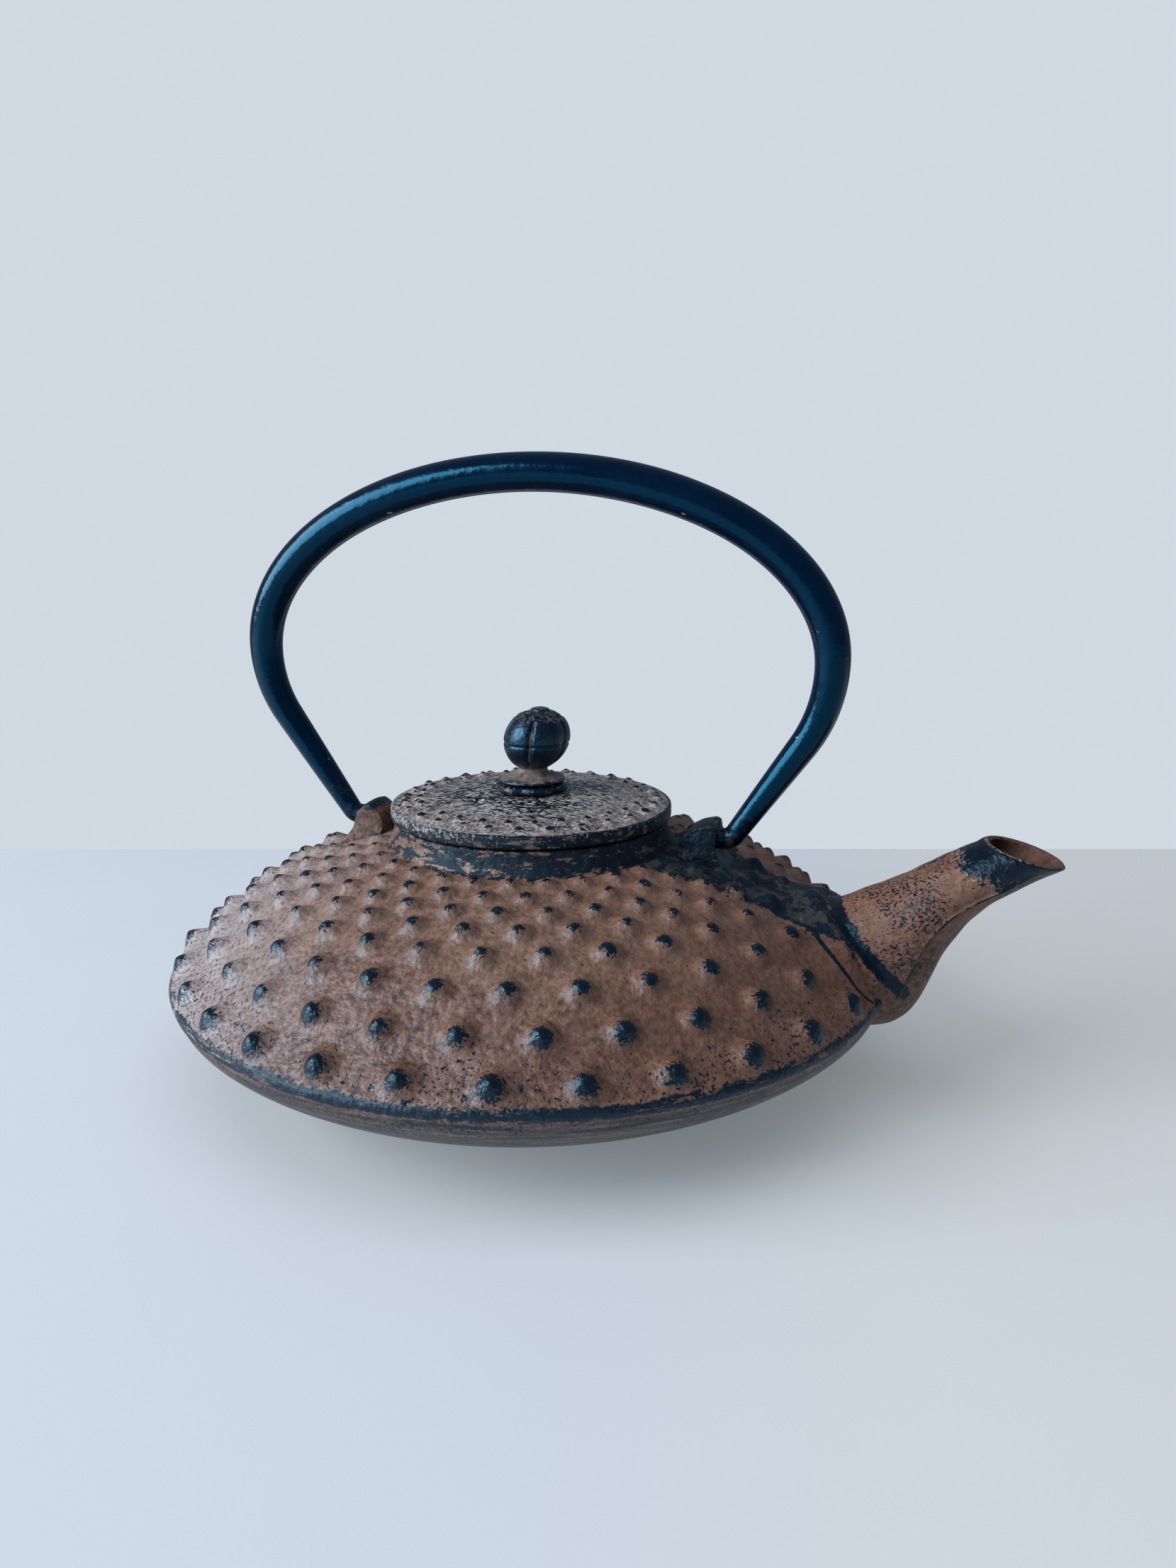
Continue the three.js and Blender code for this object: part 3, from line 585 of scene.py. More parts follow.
class Paint:
    """A material with one Principled shader, and short ways to wire its nodes."""

    def __init__(self, name):
        self.material = bpy.data.materials.new(name)
        self.material.use_nodes = True
        self.tree = self.material.node_tree
        self.shader = self.tree.nodes["Principled BSDF"]
        self.place = self.node("ShaderNodeTexCoord").outputs["Object"]
        split = self.node("ShaderNodeSeparateXYZ", Vector=self.place)
        self.x, self.y, self.z = (Number(self.tree, axis) * 1000 for axis in split.outputs)

    def node(self, kind, **inputs):
        return add_node(self.tree, kind, **inputs)

    def from_axis(self):
        return (self.x * self.x + self.y * self.y).work("SQRT")

    def noise(self, size_mm, detail=3.0, roughness=0.55, distortion=0.0, stretch=None):
        """Noise with features about size_mm across, from 0 to 1 round a middle of 0.5."""
        place = self.place
        if stretch:
            place = self.node("ShaderNodeMapping", Vector=place, Scale=stretch).outputs["Vector"]
        made = self.node("ShaderNodeTexNoise", Vector=place, Scale=1000 / size_mm, Detail=detail,
                         Roughness=roughness, Distortion=distortion)
        return Number(self.tree, made.outputs["Fac"])

    def attribute(self, name):
        made = self.node("ShaderNodeAttribute")
        made.attribute_name = name
        return Number(self.tree, made.outputs["Fac"])

    def mix(self, share, low, high):
        """Two colours or two numbers mixed."""
        number = isinstance(low, (float, Number))
        made = self.tree.nodes.new("ShaderNodeMix")
        made.data_type = "FLOAT" if number else "RGBA"
        sockets = [s for s in made.inputs if s.enabled and s.type in ("VALUE", "RGBA")]
        for socket, value in zip(sockets, (share, low, high)):
            feed(self.tree, socket, value)
        mixed = next(s for s in made.outputs if s.enabled)
        return Number(self.tree, mixed) if number else mixed

    def ramp(self, value, *stops):
        """Colour by value, from stops of place and colour."""
        made = self.node("ShaderNodeValToRGB", Fac=value)
        elements = made.color_ramp.elements
        while len(elements) < len(stops):
            elements.new(0.5)
        for element, (place, colour) in zip(elements, stops):
            element.position = place
            element.color = (*colour, 1)
        return made.outputs["Color"]

    def finish(self, colour, roughness, height, depth_mm, metallic=0.0, shine=0.5, tint=COOL_SHINE):
        """Wires the shader, with a relief of height times depth_mm that only the shading shows."""
        bump = self.node("ShaderNodeBump", Height=height, Distance=depth_mm * MM, Strength=1.0)
        wiring = {
            "Base Color": colour, "Roughness": roughness, "Metallic": metallic,
            "Normal": bump.outputs["Normal"], "Specular IOR Level": shine,
            "Specular Tint": (1, 1, 1) if metallic else tint,
        }
        for key, value in wiring.items():
            feed(self.tree, self.shader.inputs[key], value)
        return self.material


def brown_paint(p, lift=1.0):
    """The worn brown paint that pot, spout and lugs share: its colour, its height and its noises."""
    blotch = p.noise(26, 3)
    mottle = p.noise(4.5, 4, 0.6)
    grain = p.noise(1.1, 5, 0.66)
    pits = p.noise(1.5, 2, 0.5)
    value = grain * 0.5 + pits * 0.6 + mottle * 0.34 + blotch * 0.36 - 0.4
    stops = [tuple(c * lift for c in tone) for tone in (BROWN_DEEP, BROWN, BROWN_PALE)]
    colour = p.ramp(value, (0.33, stops[0]), (0.46, stops[1]), (0.74, stops[2]))
    return colour, pits * 0.85 + grain * 0.15, blotch, mottle, grain


def ragged(mottle, grain, coarse=3.0, fine=3.4):
    """A wander round 0 that roughens the edge of a painted area."""
    return (mottle - 0.5) * coarse + (grain - 0.5) * fine


def pot_paint():
    p = Paint("worn_brown_iron")
    colour, height, blotch, mottle, grain = brown_paint(p)
    inner = p.attribute("inner")
    frayed = ragged(mottle, grain)

    # Paler dust on the far left, partly painted light from the window on that side, a paler shoulder
    # towards the neck, partly dust and partly a painted sheen on its upward faces, and a redder brown
    # towards the spout
    colour = p.mix(p.x.step(-15, -72) * grain.step(0.33, 0.54) * 0.85, colour, DUST)
    colour = p.mix(p.z.step(41, 54) * 0.28, colour, BROWN_PALE)
    colour = p.mix(p.x.step(5, 62) * 0.5, colour, BROWN_RED)

    # Dark specks, thickest above the equator
    crowd = p.z.step(42, 30) * 0.11 + blotch.step(0.42, 0.62) * 0.05
    speck = (p.noise(0.8, 3, 0.6) + crowd).step(0.72, 0.74)
    flake = (p.noise(1.6, 4, 0.7) + crowd).step(0.74, 0.75)

    # Nail tips worn down to the black coat
    chipped = p.noise(1.5, 5, 0.75) - 0.5
    stipple = p.noise(0.55, 2, 0.5) - 0.5
    tip = (p.attribute("tip") + chipped * 0.95 + stipple).step(0.0, 0.035)

    # Dark bands: round the equator, round the neck, from the front lug to the spout, and painted shade
    # in the crease where the spout joins
    equator = (abs(p.z - (EQUATOR_Z + 0.3)) + frayed * 0.75).step(1.6, 1.2)
    equator = equator * p.noise(3.5, 5, 0.75, stretch=(0.4, 0.4, 2.5)).step(0.6, 0.54)
    bare_neck = p.noise(2.6, 5, 0.72, stretch=(0.5, 0.5, 1.5)) + p.x.step(8, -32) * 0.11
    neck = (p.from_axis() + frayed * 2.0 + p.x.step(10, -20) * 0.7).step(37.3, 36.9)
    neck = neck * p.z.step(50, 52) * bare_neck.step(0.59, 0.56)
    side = abs(p.y + 2.5) + frayed * 2.6 + p.x.step(44, 62) * 3.5
    patch = side.step(16.5, 15.5) * p.x.step(30, 36) * p.z.step(37, 39)
    # Painted shade along the crease round the spout's root, a little way out from the spout
    crease_shade = (p.attribute("gap").hump(3.4, 0.9) + frayed * 0.3).step(0.45, 0.55)
    dark = (tip | equator | neck | patch | crease_shade | speck | flake) * (1.0 - inner)

    # The black coat, faded to green and brown in the wide patches
    ink = p.mix(p.noise(3.2, 4, 0.6).step(0.45, 0.75), INK, INK_LIT)
    faded = (mottle + grain * 0.6 - neck * 0.12 - 0.04).step(0.72, 0.84)
    faded = (patch | neck) * (1.0 - tip) * faded
    ink = p.mix(faded, ink, p.mix(grain.step(0.42, 0.66), GREEN_BLACK, BROWN_BLACK))

    # Below the equator the brown is streaked round the bowl
    streak = p.noise(9, 5, 0.65, 0.2, (0.5, 0.5, 9))
    tones = (0.4, (0.02, 0.015, 0.014)), (0.53, (0.08, 0.05, 0.037)), (0.68, (0.19, 0.132, 0.102))
    colour = p.mix(p.z.step(25.5, 24.5), colour, p.ramp(streak, *tones))

    # Bright flecks on the left side, partly rubbed metal and partly painted glints of the window, with
    # painted highlights along the ridge's upper edge there
    rubbed = p.x.step(-48, -70) * p.z.step(44, 34)
    edge = abs(p.z - (EQUATOR_Z + 2)).step(1.3, 0.4) * p.x.step(-20, -55)
    fleck = (p.noise(0.9, 4, 0.7) + blotch * 0.25).step(0.72, 0.75) * (rubbed | edge)

    rust = p.ramp(mottle, (0.35, (0.03, 0.02, 0.016)), (0.65, (0.13, 0.055, 0.028)))
    colour = p.mix(inner, p.mix(fleck, p.mix(dark, colour, ink), FLECK_AND_GLINT), rust)
    rough = p.mix(dark, p.mix(grain, 0.55, 0.38), p.mix(mottle, 0.4, 0.26))
    rough = p.mix(neck | patch, rough, p.mix(mottle, 0.8, 0.55))
    rough = p.mix(inner, p.mix(equator, rough, 0.5), 0.8)
    return p.finish(colour, rough, height - dark * 0.06, 0.6, shine=0.6)


def spout_paint():
    p = Paint("pinkish_iron")
    colour, height, blotch, mottle, grain = brown_paint(p, 0.92)
    inner = p.attribute("inner")
    frayed = ragged(mottle, grain)
    colour = p.mix(blotch.step(0.36, 0.6) * 0.5, colour, (0.17, 0.08, 0.048))

    # Short dark dashes, the stripe past the collar, the seam, and the worn lip
    crowd = p.attribute("spread") * p.noise(9, 3).step(0.3, 0.6) * 0.12
    dash = (p.noise(0.62, 4, 0.62, stretch=(0.75, 1.0, 1.2)) + crowd).step(0.645, 0.665)
    stripe = (p.attribute("stripe") + frayed * 0.42).step(0.44, 0.52)
    seam = (p.attribute("seam") + frayed * 0.3).step(0.7, 0.85)
    worn = (p.attribute("worn") + frayed * 0.42).step(0.5, 0.54)
    dark = dash | stripe | seam | worn
    colour = p.mix(dark, colour, p.mix(p.noise(2.4, 4, 0.6).step(0.45, 0.7), INK, INK_LIT))

    fleck = p.noise(1.0, 5, 0.75).step(0.57, 0.59) * p.attribute("worn").hump(0.6, 0.35)
    colour = p.mix(fleck * 0.8, colour, (0.33, 0.28, 0.25))
    under_mouth = p.x.step(119, 123) * grain.step(0.44, 0.56) * 0.7
    colour = p.mix(under_mouth, colour, (0.045, 0.04, 0.03))
    rust = p.ramp(mottle, (0.3, (0.035, 0.02, 0.014)), (0.7, (0.16, 0.075, 0.045)))
    colour = p.mix(inner, colour, rust)
    rough = p.mix(inner, p.mix(dark, p.mix(grain, 0.7, 0.48), 0.38), 0.75)
    return p.finish(colour, rough, height - dark * 0.06, 0.5, shine=0.35)


def lug_paint(name, dark_share, dark_top):
    p = Paint(name)
    colour, height, _, mottle, grain = brown_paint(p, 0.8)
    top = (p.z + ragged(mottle, grain, 3.0, 3.0)).step(dark_top, dark_top + 0.5)
    stain = (mottle * 0.7 + grain * 0.3 + dark_share).step(0.5, 0.56)
    dark = top | stain
    colour = p.mix(dark, colour, p.mix(grain.step(0.42, 0.66), INK, INK_WORN))
    return p.finish(colour, p.mix(dark, 0.62, 0.42), height, 0.5, shine=0.35)


def bail_paint():
    p = Paint("blue_black_enamel")
    cloud = p.noise(14, 4, 0.6)
    skin = p.noise(2.4, 3, 0.5)
    colour = p.ramp(cloud, (0.3, (0.0002, 0.0018, 0.0075)), (0.7, (0.0005, 0.0042, 0.0165)))
    scratch = p.noise(4.5, 2, 0.5, 0.4, (0.35, 2.2, 1.6)).step(0.735, 0.75)
    colour = p.mix(scratch * 0.8, colour, (0.2, 0.22, 0.23))
    rubbed = p.z.step(74, 62) * p.noise(3, 4, 0.7).step(0.5, 0.62)
    colour = p.mix(rubbed * 0.5, colour, (0.05, 0.032, 0.024))
    rough = p.mix(cloud.step(0.35, 0.7), 0.15, 0.25)
    return p.finish(colour, rough, skin * 0.8 - scratch * 0.4, 0.16, shine=0.6, tint=BLUE_SHINE)


def lid_paint():
    p = Paint("worn_lid_iron")
    radius = p.from_axis()
    mottle = p.noise(3.0, 4, 0.62)
    grain = p.noise(0.9, 5, 0.68)
    tones = (0.37, (0.06, 0.046, 0.042)), (0.49, (0.215, 0.185, 0.175)), (0.62, (0.46, 0.42, 0.405))
    colour = p.ramp(grain * 0.7 + mottle * 0.35 - 0.03, *tones)
    colour = p.mix(radius.step(26, 14) * 0.6, colour, (0.56, 0.53, 0.51))

    # The brushed middle, the worn nail tips and the rim, whose black coat is partly rubbed off
    uneven = (p.noise(20, 3) - 0.5) * 0.25
    brushed = p.noise(0.8, 3, 0.6, 0.2, (0.5, 1.3, 1)) + radius.step(27, 15) * 0.125 + uneven
    brushed = (brushed + p.x.step(0, -25) * 0.025).step(0.585, 0.605)
    tip = (p.attribute("tip") + (mottle - 0.5) * 0.7).step(0.0, 0.06)
    rim = (radius + (mottle - 0.5) * 2.0).step(LID_RADIUS - 0.9, LID_RADIUS - 0.5)
    bare_rim = p.noise(1.9, 5, 0.74, stretch=(0.5, 0.5, 1.2)).step(0.54, 0.57)
    under = p.z.step(LID_UNDERSIDE_Z + 0.4, LID_UNDERSIDE_Z + 0.1)
    dark = (brushed | rim) * (1.0 - rim * bare_rim) | tip | under
    colour = p.mix(rim, colour, (0.105, 0.08, 0.07))
    colour = p.mix(dark, colour, p.mix(grain.step(0.45, 0.75), INK, INK_LIT))

    # Silver flecks on the rim, partly bare metal and partly painted glints, thickest on its upper left
    # side towards the window
    rubbed = p.x.step(12, -28) * p.z.step(64.6, 66) * 0.13
    silver_and_glint = rim * (p.noise(0.8, 5, 0.75) + rubbed - 0.03).step(0.57, 0.61) * (1.0 - under)
    colour = p.mix(silver_and_glint * 0.85, colour, SILVER)
    height = mottle * 0.4 + grain * 0.6 - dark * 0.12
    return p.finish(colour, p.mix(dark, 0.6, 0.42), height, 0.7, shine=0.35)


def knob_paint():
    p = Paint("knob_iron")
    mottle = p.noise(2.2, 4, 0.62)
    grain = p.noise(0.9, 4, 0.6)
    frayed = ragged(mottle, grain, 1.5, 1.0)
    level = p.z + frayed
    groove = (p.attribute("groove") + frayed * 0.5).step(0.66, 0.8)
    stem = level.step(76.6, 75.6) * level.step(72.9, 73.5)
    cap = level.step(87.7, 88.3) * grain.step(0.48, 0.6)
    chip = p.noise(1.2, 4, 0.7).step(0.66, 0.69)
    dusty = groove | stem | cap * 0.6 | chip * 0.6
    dust = p.ramp(mottle, (0.3, (0.05, 0.034, 0.026)), (0.65, (0.2, 0.155, 0.13)))
    colour = p.mix(dusty, p.ramp(grain, (0.35, INK), (0.7, INK_LIT)), dust)
    height = mottle * 0.5 + grain * 0.5
    return p.finish(colour, p.mix(dusty, 0.22, 0.65), height, 0.35, shine=0.75, tint=KNOB_SHINE)


def seat_paint():
    p = Paint("seat_iron")
    mottle = p.noise(2.2, 4, 0.62)
    grain = p.noise(0.8, 4, 0.6)
    worn = (grain + (mottle - 0.5) * 0.24).step(0.56, 0.66)
    dust = p.ramp(mottle, (0.3, (0.06, 0.042, 0.034)), (0.65, (0.24, 0.19, 0.16)))
    colour = p.mix(worn, p.ramp(grain, (0.35, INK), (0.7, INK_LIT)), dust)
    return p.finish(colour, p.mix(worn, 0.32, 0.62), mottle * 0.5 + grain * 0.5, 0.22)


def steel_paint():
    p = Paint("brushed_steel")
    brush = p.noise(5, 5, 0.7, stretch=(0.25, 0.25, 14))
    stain = (p.noise(18, 3) + brush * 0.2).step(0.66, 0.8)
    colour = p.ramp(brush, (0.3, (0.44, 0.44, 0.435)), (0.7, (0.62, 0.62, 0.61)))
    colour = p.mix(stain * 0.5, colour, (0.32, 0.25, 0.18))
    return p.finish(colour, p.mix(brush, 0.24, 0.38), brush, 0.03, metallic=1.0)


# ---- Lugs, bail, lid, knob and basket ----


def lug_piece(name, side, top, lean):
    """A hood-shaped fin on one side (1 or -1), with the blind hole that the bail's pin turns in."""
    outer_edge = ((46.8 - lean * 0.55, 60.4), (47.1 - lean * 0.3, 57.6), (48.3, 54.9), (50.2, 52.6))
    outline = rounded([(38.2, 54.5), (38.4, 60.5), *top, *outer_edge], 1.2, 4)
    outline = np.array(resample([(41, 53.2), *outline, (44, 51.5)], 0.6))
    towards = np.array([43.2, 57.6]) - outline
    distance = np.linalg.norm(towards, axis=1)[:, None]
    flat = LUG_HALF_WIDTH - LUG_BEVEL
    rows = []
    for degrees in np.linspace(-90, 90, 25):
        turned = math.radians(degrees)
        across = flat * np.clip(degrees / 60, -1, 1) + LUG_BEVEL * math.sin(turned)
        inward = LUG_BEVEL * (1 - math.cos(turned))
        section = outline + towards / distance * np.minimum(inward, distance * 0.8)
        flare = 1 + 0.4 * smoothstep(59, 53.5, section[:, 1])
        from_pin = np.hypot(across, section[:, 1] - PIVOT_Z)
        dish = LUG_DISH * smoothstep(3.2, 5.6, from_pin) * smoothstep(43, 45.5, section[:, 0])
        rows.append(np.column_stack([section[:, 0] + dish, across * flare, section[:, 1]]))
    fin = lathe(name, np.array(rows), None, [rows[0].mean(0), rows[-1].mean(0)])
    drill(fin, 0, (0, PIVOT_Z), ((40.2, PIN_HOLE), (60, PIN_HOLE)))
    for vertex in fin.data.vertices:
        vertex.co.xy *= side
    fin.data.set_sharp_from_angle(angle=math.radians(45))
    return fin


def bail_half(hip_radius):
    """The bar's centre line from the top of the arch down to the tip of one pin."""
    lean = math.radians(BAIL_LEG_ANGLE)
    points = []
    for degrees in np.linspace(90, 0, 61):
        angle = math.radians(degrees)
        points.append((BAIL_HALF_SPAN * math.cos(angle), BAIL_SPRING_Z + BAIL_RISE * math.sin(angle)))
    for angle in np.linspace(0, lean, 17)[1:]:
        x = BAIL_HALF_SPAN - hip_radius * (1 - math.cos(angle))
        points.append((x, BAIL_SPRING_Z - hip_radius * math.sin(angle)))
    hip = np.array(points[-1])
    corner_x = hip[0] - (hip[1] - PIVOT_Z) * math.tan(lean)
    hook = np.array([corner_x - HOOK_RADIUS * math.tan(math.pi / 4 - lean / 2), PIVOT_Z + HOOK_RADIUS])
    bend = [
        hook + HOOK_RADIUS * np.array([math.cos(angle), math.sin(angle)])
        for angle in np.linspace(-lean, -math.pi / 2, 13)
    ]
    points += [hip + (bend[0] - hip) * step / 20 for step in range(1, 20)]
    points += bend
    points += [(hook[0] + (PIN_TIP + 0.6 - hook[0]) * step / 4, PIVOT_Z) for step in range(1, 5)]
    return np.array(points)


def bail_piece():
    rear = bail_half(BAIL_HIP_RADII[1])[1:][::-1] * np.array([-1, 1])
    line = np.concatenate([rear, bail_half(BAIL_HIP_RADII[0])])
    along = np.gradient(line, axis=0)
    along /= np.linalg.norm(along, axis=1)[:, None]
    across = np.stack([along[:, 1], -along[:, 0]], -1)
    top = BAIL_SPRING_Z + BAIL_RISE
    climb = np.clip((line[:, 1] - TAPER_FROM_Z) / (top - TAPER_FROM_Z), 0, 1)
    radius = PIN_RADIUS + (GRIP_RADIUS - PIN_RADIUS) * (1 - (1 - climb) ** 2)
    angles = circle(40, 0)
    hammered = 1 + 0.006 * np.sin(np.arange(len(line)) * 0.21)[:, None] * np.cos(angles * 2 + 0.6)
    reach = radius[:, None] * hammered
    grid = np.stack([
        line[:, 0:1] + BAIL_OFFSET + across[:, 0:1] * reach * np.cos(angles),
        reach * np.sin(angles),
        line[:, 1:2] + across[:, 1:2] * reach * np.cos(angles),
    ], -1)
    tips = [(side * PIN_TIP + BAIL_OFFSET, 0, PIVOT_Z) for side in (-1, 1)]
    return lathe("bail_bar", grid, None, tips)


def lid_top(radius):
    share = np.clip((np.asarray(radius, float) - SEAT_RADIUS) / (LID_RADIUS - SEAT_RADIUS), 0, 1)
    return LID_CROWN_Z - (LID_CROWN_Z - LID_EDGE_Z) * share**1.4


def lid_piece():
    angles = circle(LID_NAILS * 20)
    inner_skirt = SKIRT_RADIUS - SKIRT_WALL
    under = LID_CROWN_Z - LID_THICKNESS
    below = rounded([
        (STEM_HOLE, under), (WASHER_RADIUS + 1, under), (inner_skirt, LID_UNDERSIDE_Z + 0.6),
        (inner_skirt, SKIRT_BOTTOM_Z), (SKIRT_RADIUS, SKIRT_BOTTOM_Z), (SKIRT_RADIUS, LID_UNDERSIDE_Z),
        (LID_RADIUS, LID_UNDERSIDE_Z), (LID_RADIUS, LID_EDGE_Z), (LID_RADIUS - 1.4, LID_EDGE_Z + 0.15),
    ], 0.55, 3)[:-1]
    nailed = np.arange(LID_RADIUS - 1.3, 25, -0.45)
    radii = np.concatenate([nailed, np.arange(25, SEAT_RADIUS, -1.2), [SEAT_RADIUS]])
    profile = [*below, *((r, float(lid_top(r))) for r in radii), (STEM_HOLE, LID_CROWN_Z)]
    grid = turn(profile, angles)
    tip = np.full(grid.shape[:2], -1.0)
    rows = slice(len(below), len(below) + len(radii))
    rng = np.random.default_rng(11)
    for ring, ring_radius in enumerate(LID_NAIL_RINGS):
        for nail in range(LID_NAILS):
            place = (nail + ring / 2) * 2 * math.pi / LID_NAILS
            angle = math.radians(-90) + place + rng.uniform(-0.012, 0.012)
            across = turn_from(angles, angle)
            rise = LID_NAIL_HEIGHT * rng.uniform(0.85, 1.05)
            foot = 2.1 - 0.2 * ring
            distance = np.hypot(radii[:, None] - ring_radius, across[None] * ring_radius)
            shape = nail_profile(distance / foot)
            grid[rows, :, 2] += rise * shape
            tip[rows] = np.maximum(tip[rows], shape - 0.62 + rng.uniform(-0.14, 0.1))
    dents = 0.12 * np.sin(grid[..., 0] * 0.9 + 1) * np.sin(grid[..., 1] * 0.7)
    dents[:len(below)] = 0
    grid[..., 2] += dents * smoothstep(SEAT_RADIUS, 13, np.hypot(grid[..., 0], grid[..., 1]))
    cover = lathe("lid_cover", grid, {"tip": tip}, wrap=True, sharp_degrees=50)
    vent = ((60, VENT_RADIUS), (68.2, VENT_RADIUS), (70.5, VENT_RADIUS + 1.4))
    return drill(cover, 2, VENT_PLACE, vent, 32)


def knob_piece():
    """The knob with its stem and peened end: a turned shape, grooved into lobes, leaning a little."""
    angles = circle(180, KNOB_FIRST_GROOVE)
    low = WASHER_TOP_Z - WASHER_THICKNESS - 0.3
    stem = (
        (0.8, low - 1.5), (2.8, low - 1.3), (4.2, low - 0.6), (4.2, low), (STEM_RADIUS, low),
        *((radius, KNOB_BOTTOM_Z + rise) for radius, rise in (
            (STEM_RADIUS, 0), (8.6, 0), (8.4, 0.7), (6.2, 1.1), (4.6, 1.7), (3.7, 2.7), (3.7, 3.3)
        )),
    )
    stem = resample(rounded(stem, 0.6, 4), 0.45)
    latitudes = np.radians(np.linspace(-62, KNOB_CAP_LATITUDE, 58))
    ball = [
        (KNOB_RADIUS * math.cos(a), KNOB_CENTRE_Z + KNOB_HALF_HEIGHT * math.sin(a)) for a in latitudes
    ]
    cap_radius, cap_z = ball[-1]
    crown = KNOB_CENTRE_Z + KNOB_HALF_HEIGHT
    cap = (
        ball[-1], (cap_radius - 0.3, cap_z + 0.5), (cap_radius - 0.8, cap_z + 0.7),
        (cap_radius - 1.3, cap_z + 1.4), (3.6, cap_z + 2.1), (2.6, cap_z + 2.2), (2.2, cap_z + 2.8),
        (1.1, crown),
    )
    cap = resample(rounded(cap, 0.5, 3)[1:], 0.4)
    profile = [*stem, *ball, *cap]
    grid = turn(profile, angles)
    height = np.array([p[1] for p in profile])[:, None]

    pitch = 2 * math.pi / KNOB_GROOVES
    from_groove = np.abs((angles - angles[0] + pitch / 2) % pitch - pitch / 2)
    narrow = np.exp(-((from_groove * KNOB_RADIUS / 0.55) ** 2))
    deep = 0.95 * smoothstep(76, 78, height) * (1 - smoothstep(cap_z - 0.2, cap_z + 0.6, height))
    lobes = 0.18 * np.cos(from_groove / pitch * 2 * math.pi)
    seam = 0.28 * bump_at(height, KNOB_CENTRE_Z - 0.9, 0.28) * (deep > 0.5)
    on_cap = smoothstep(cap_z + 0.3, cap_z + 0.9, height)
    on_cap = on_cap * (1 - smoothstep(crown - 1.2, crown - 0.4, height))
    petals = 0.35 + 0.35 * np.cos((angles - angles[0]) * 8)
    shrink = deep * (narrow + lobes) + seam + on_cap * petals
    radius = np.hypot(grid[..., 0], grid[..., 1])
    grid[..., :2] *= ((radius - shrink) / radius)[..., None]
    groove = np.zeros(grid.shape[:2])
    groove[len(stem):len(stem) + len(ball)] = narrow

    slope = KNOB_LEAN / (KNOB_CENTRE_Z - KNOB_BOTTOM_Z)
    grid[..., 0] += slope * np.clip(grid[..., 2] - KNOB_BOTTOM_Z, 0, None)
    poles = ((0, 0, low - 1.5), (slope * (crown - KNOB_BOTTOM_Z), 0, crown))
    return lathe("riveted_knob", grid, {"groove": groove}, poles, sharp_degrees=60)


def seat_piece():
    angles = circle(144, 0)
    petals = 0.5 * (np.abs(np.cos(angles * 3)) * 2 - 1)
    section = rounded([
        (3.5, SEAT_BOTTOM_Z), (SEAT_RADIUS - 1.1, SEAT_BOTTOM_Z),
        (SEAT_RADIUS - 0.6, SEAT_BOTTOM_Z + 0.8), (SEAT_RADIUS - 0.9, SEAT_TOP_Z - 0.5),
        (SEAT_RADIUS - 2, SEAT_TOP_Z), (3.5, SEAT_TOP_Z), (3.5, SEAT_BOTTOM_Z + 0.4),
    ], 0.7, 4)
    grid = turn(section, angles)
    radius = np.hypot(grid[..., 0], grid[..., 1])
    share = smoothstep(5, SEAT_RADIUS - 1, radius)
    grid[..., :2] *= (1 + share * petals[None] / radius)[..., None]
    return lathe("petal_seat", grid, wrap=True, sharp_degrees=60)


def turned_piece(name, profile, corner):
    """A ring of metal from a closed section with rounded corners."""
    closed = [*profile, profile[0], profile[1]]
    section = rounded(closed, corner, 3)[1:-1]
    section = section[:-1] if math.dist(section[0], section[-1]) < 1e-6 else section
    return lathe(name, turn(section, circle(RING_COLUMNS)), wrap=True, sharp_degrees=50)


def drilled_band(name, outer, sheet, low, high, columns, rows, hole):
    """An upright cylinder of sheet with rows of round holes through it."""
    pitch = 2 * math.pi / columns
    margin = 1.5
    row_height = (high - low - 2 * margin) / rows
    round_cell = ((1, 0.5), (1, 1), (0.5, 1), (0, 1), (0, 0.5), (0, 0), (0.5, 0), (1, 0))
    vertices, faces, places = [], [], {}

    def corner(side, angle, z):
        key = (side, round(angle % (2 * math.pi - 1e-9), 5), round(z, 4))
        if key not in places:
            radius = outer - sheet * side
            places[key] = len(vertices)
            vertices.append((radius * math.cos(angle), radius * math.sin(angle), z))
        return places[key]

    def both_sides(*points):
        faces.append(tuple(corner(0, *point) for point in points))
        faces.append(tuple(corner(1, *point) for point in points[::-1]))

    def through(a, b):
        faces.append((corner(0, *a), corner(0, *b), corner(1, *b), corner(1, *a)))

    for column in range(columns):
        start = column * pitch
        for a, b in ((start, start + pitch / 2), (start + pitch / 2, start + pitch)):
            for bottom, top in ((low, low + margin), (high - margin, high)):
                both_sides((a, bottom), (b, bottom), (b, top), (a, top))
            through((b, low), (a, low))
            through((a, high), (b, high))
        for row in range(rows):
            z = low + margin + row * row_height
            square = [(start + pitch * u, z + row_height * v) for u, v in round_cell]
            middle, level = start + pitch / 2, z + row_height / 2
            ring = [
                (middle + hole * math.cos(a) / outer, level + hole * math.sin(a)) for a in circle(8, 0)
            ]
            for k in range(8):
                following = (k + 1) % 8
                both_sides(ring[k], square[k], square[following], ring[following])
                through(ring[k], ring[following])
    return make_mesh(name, vertices, faces, sharp_degrees=35)


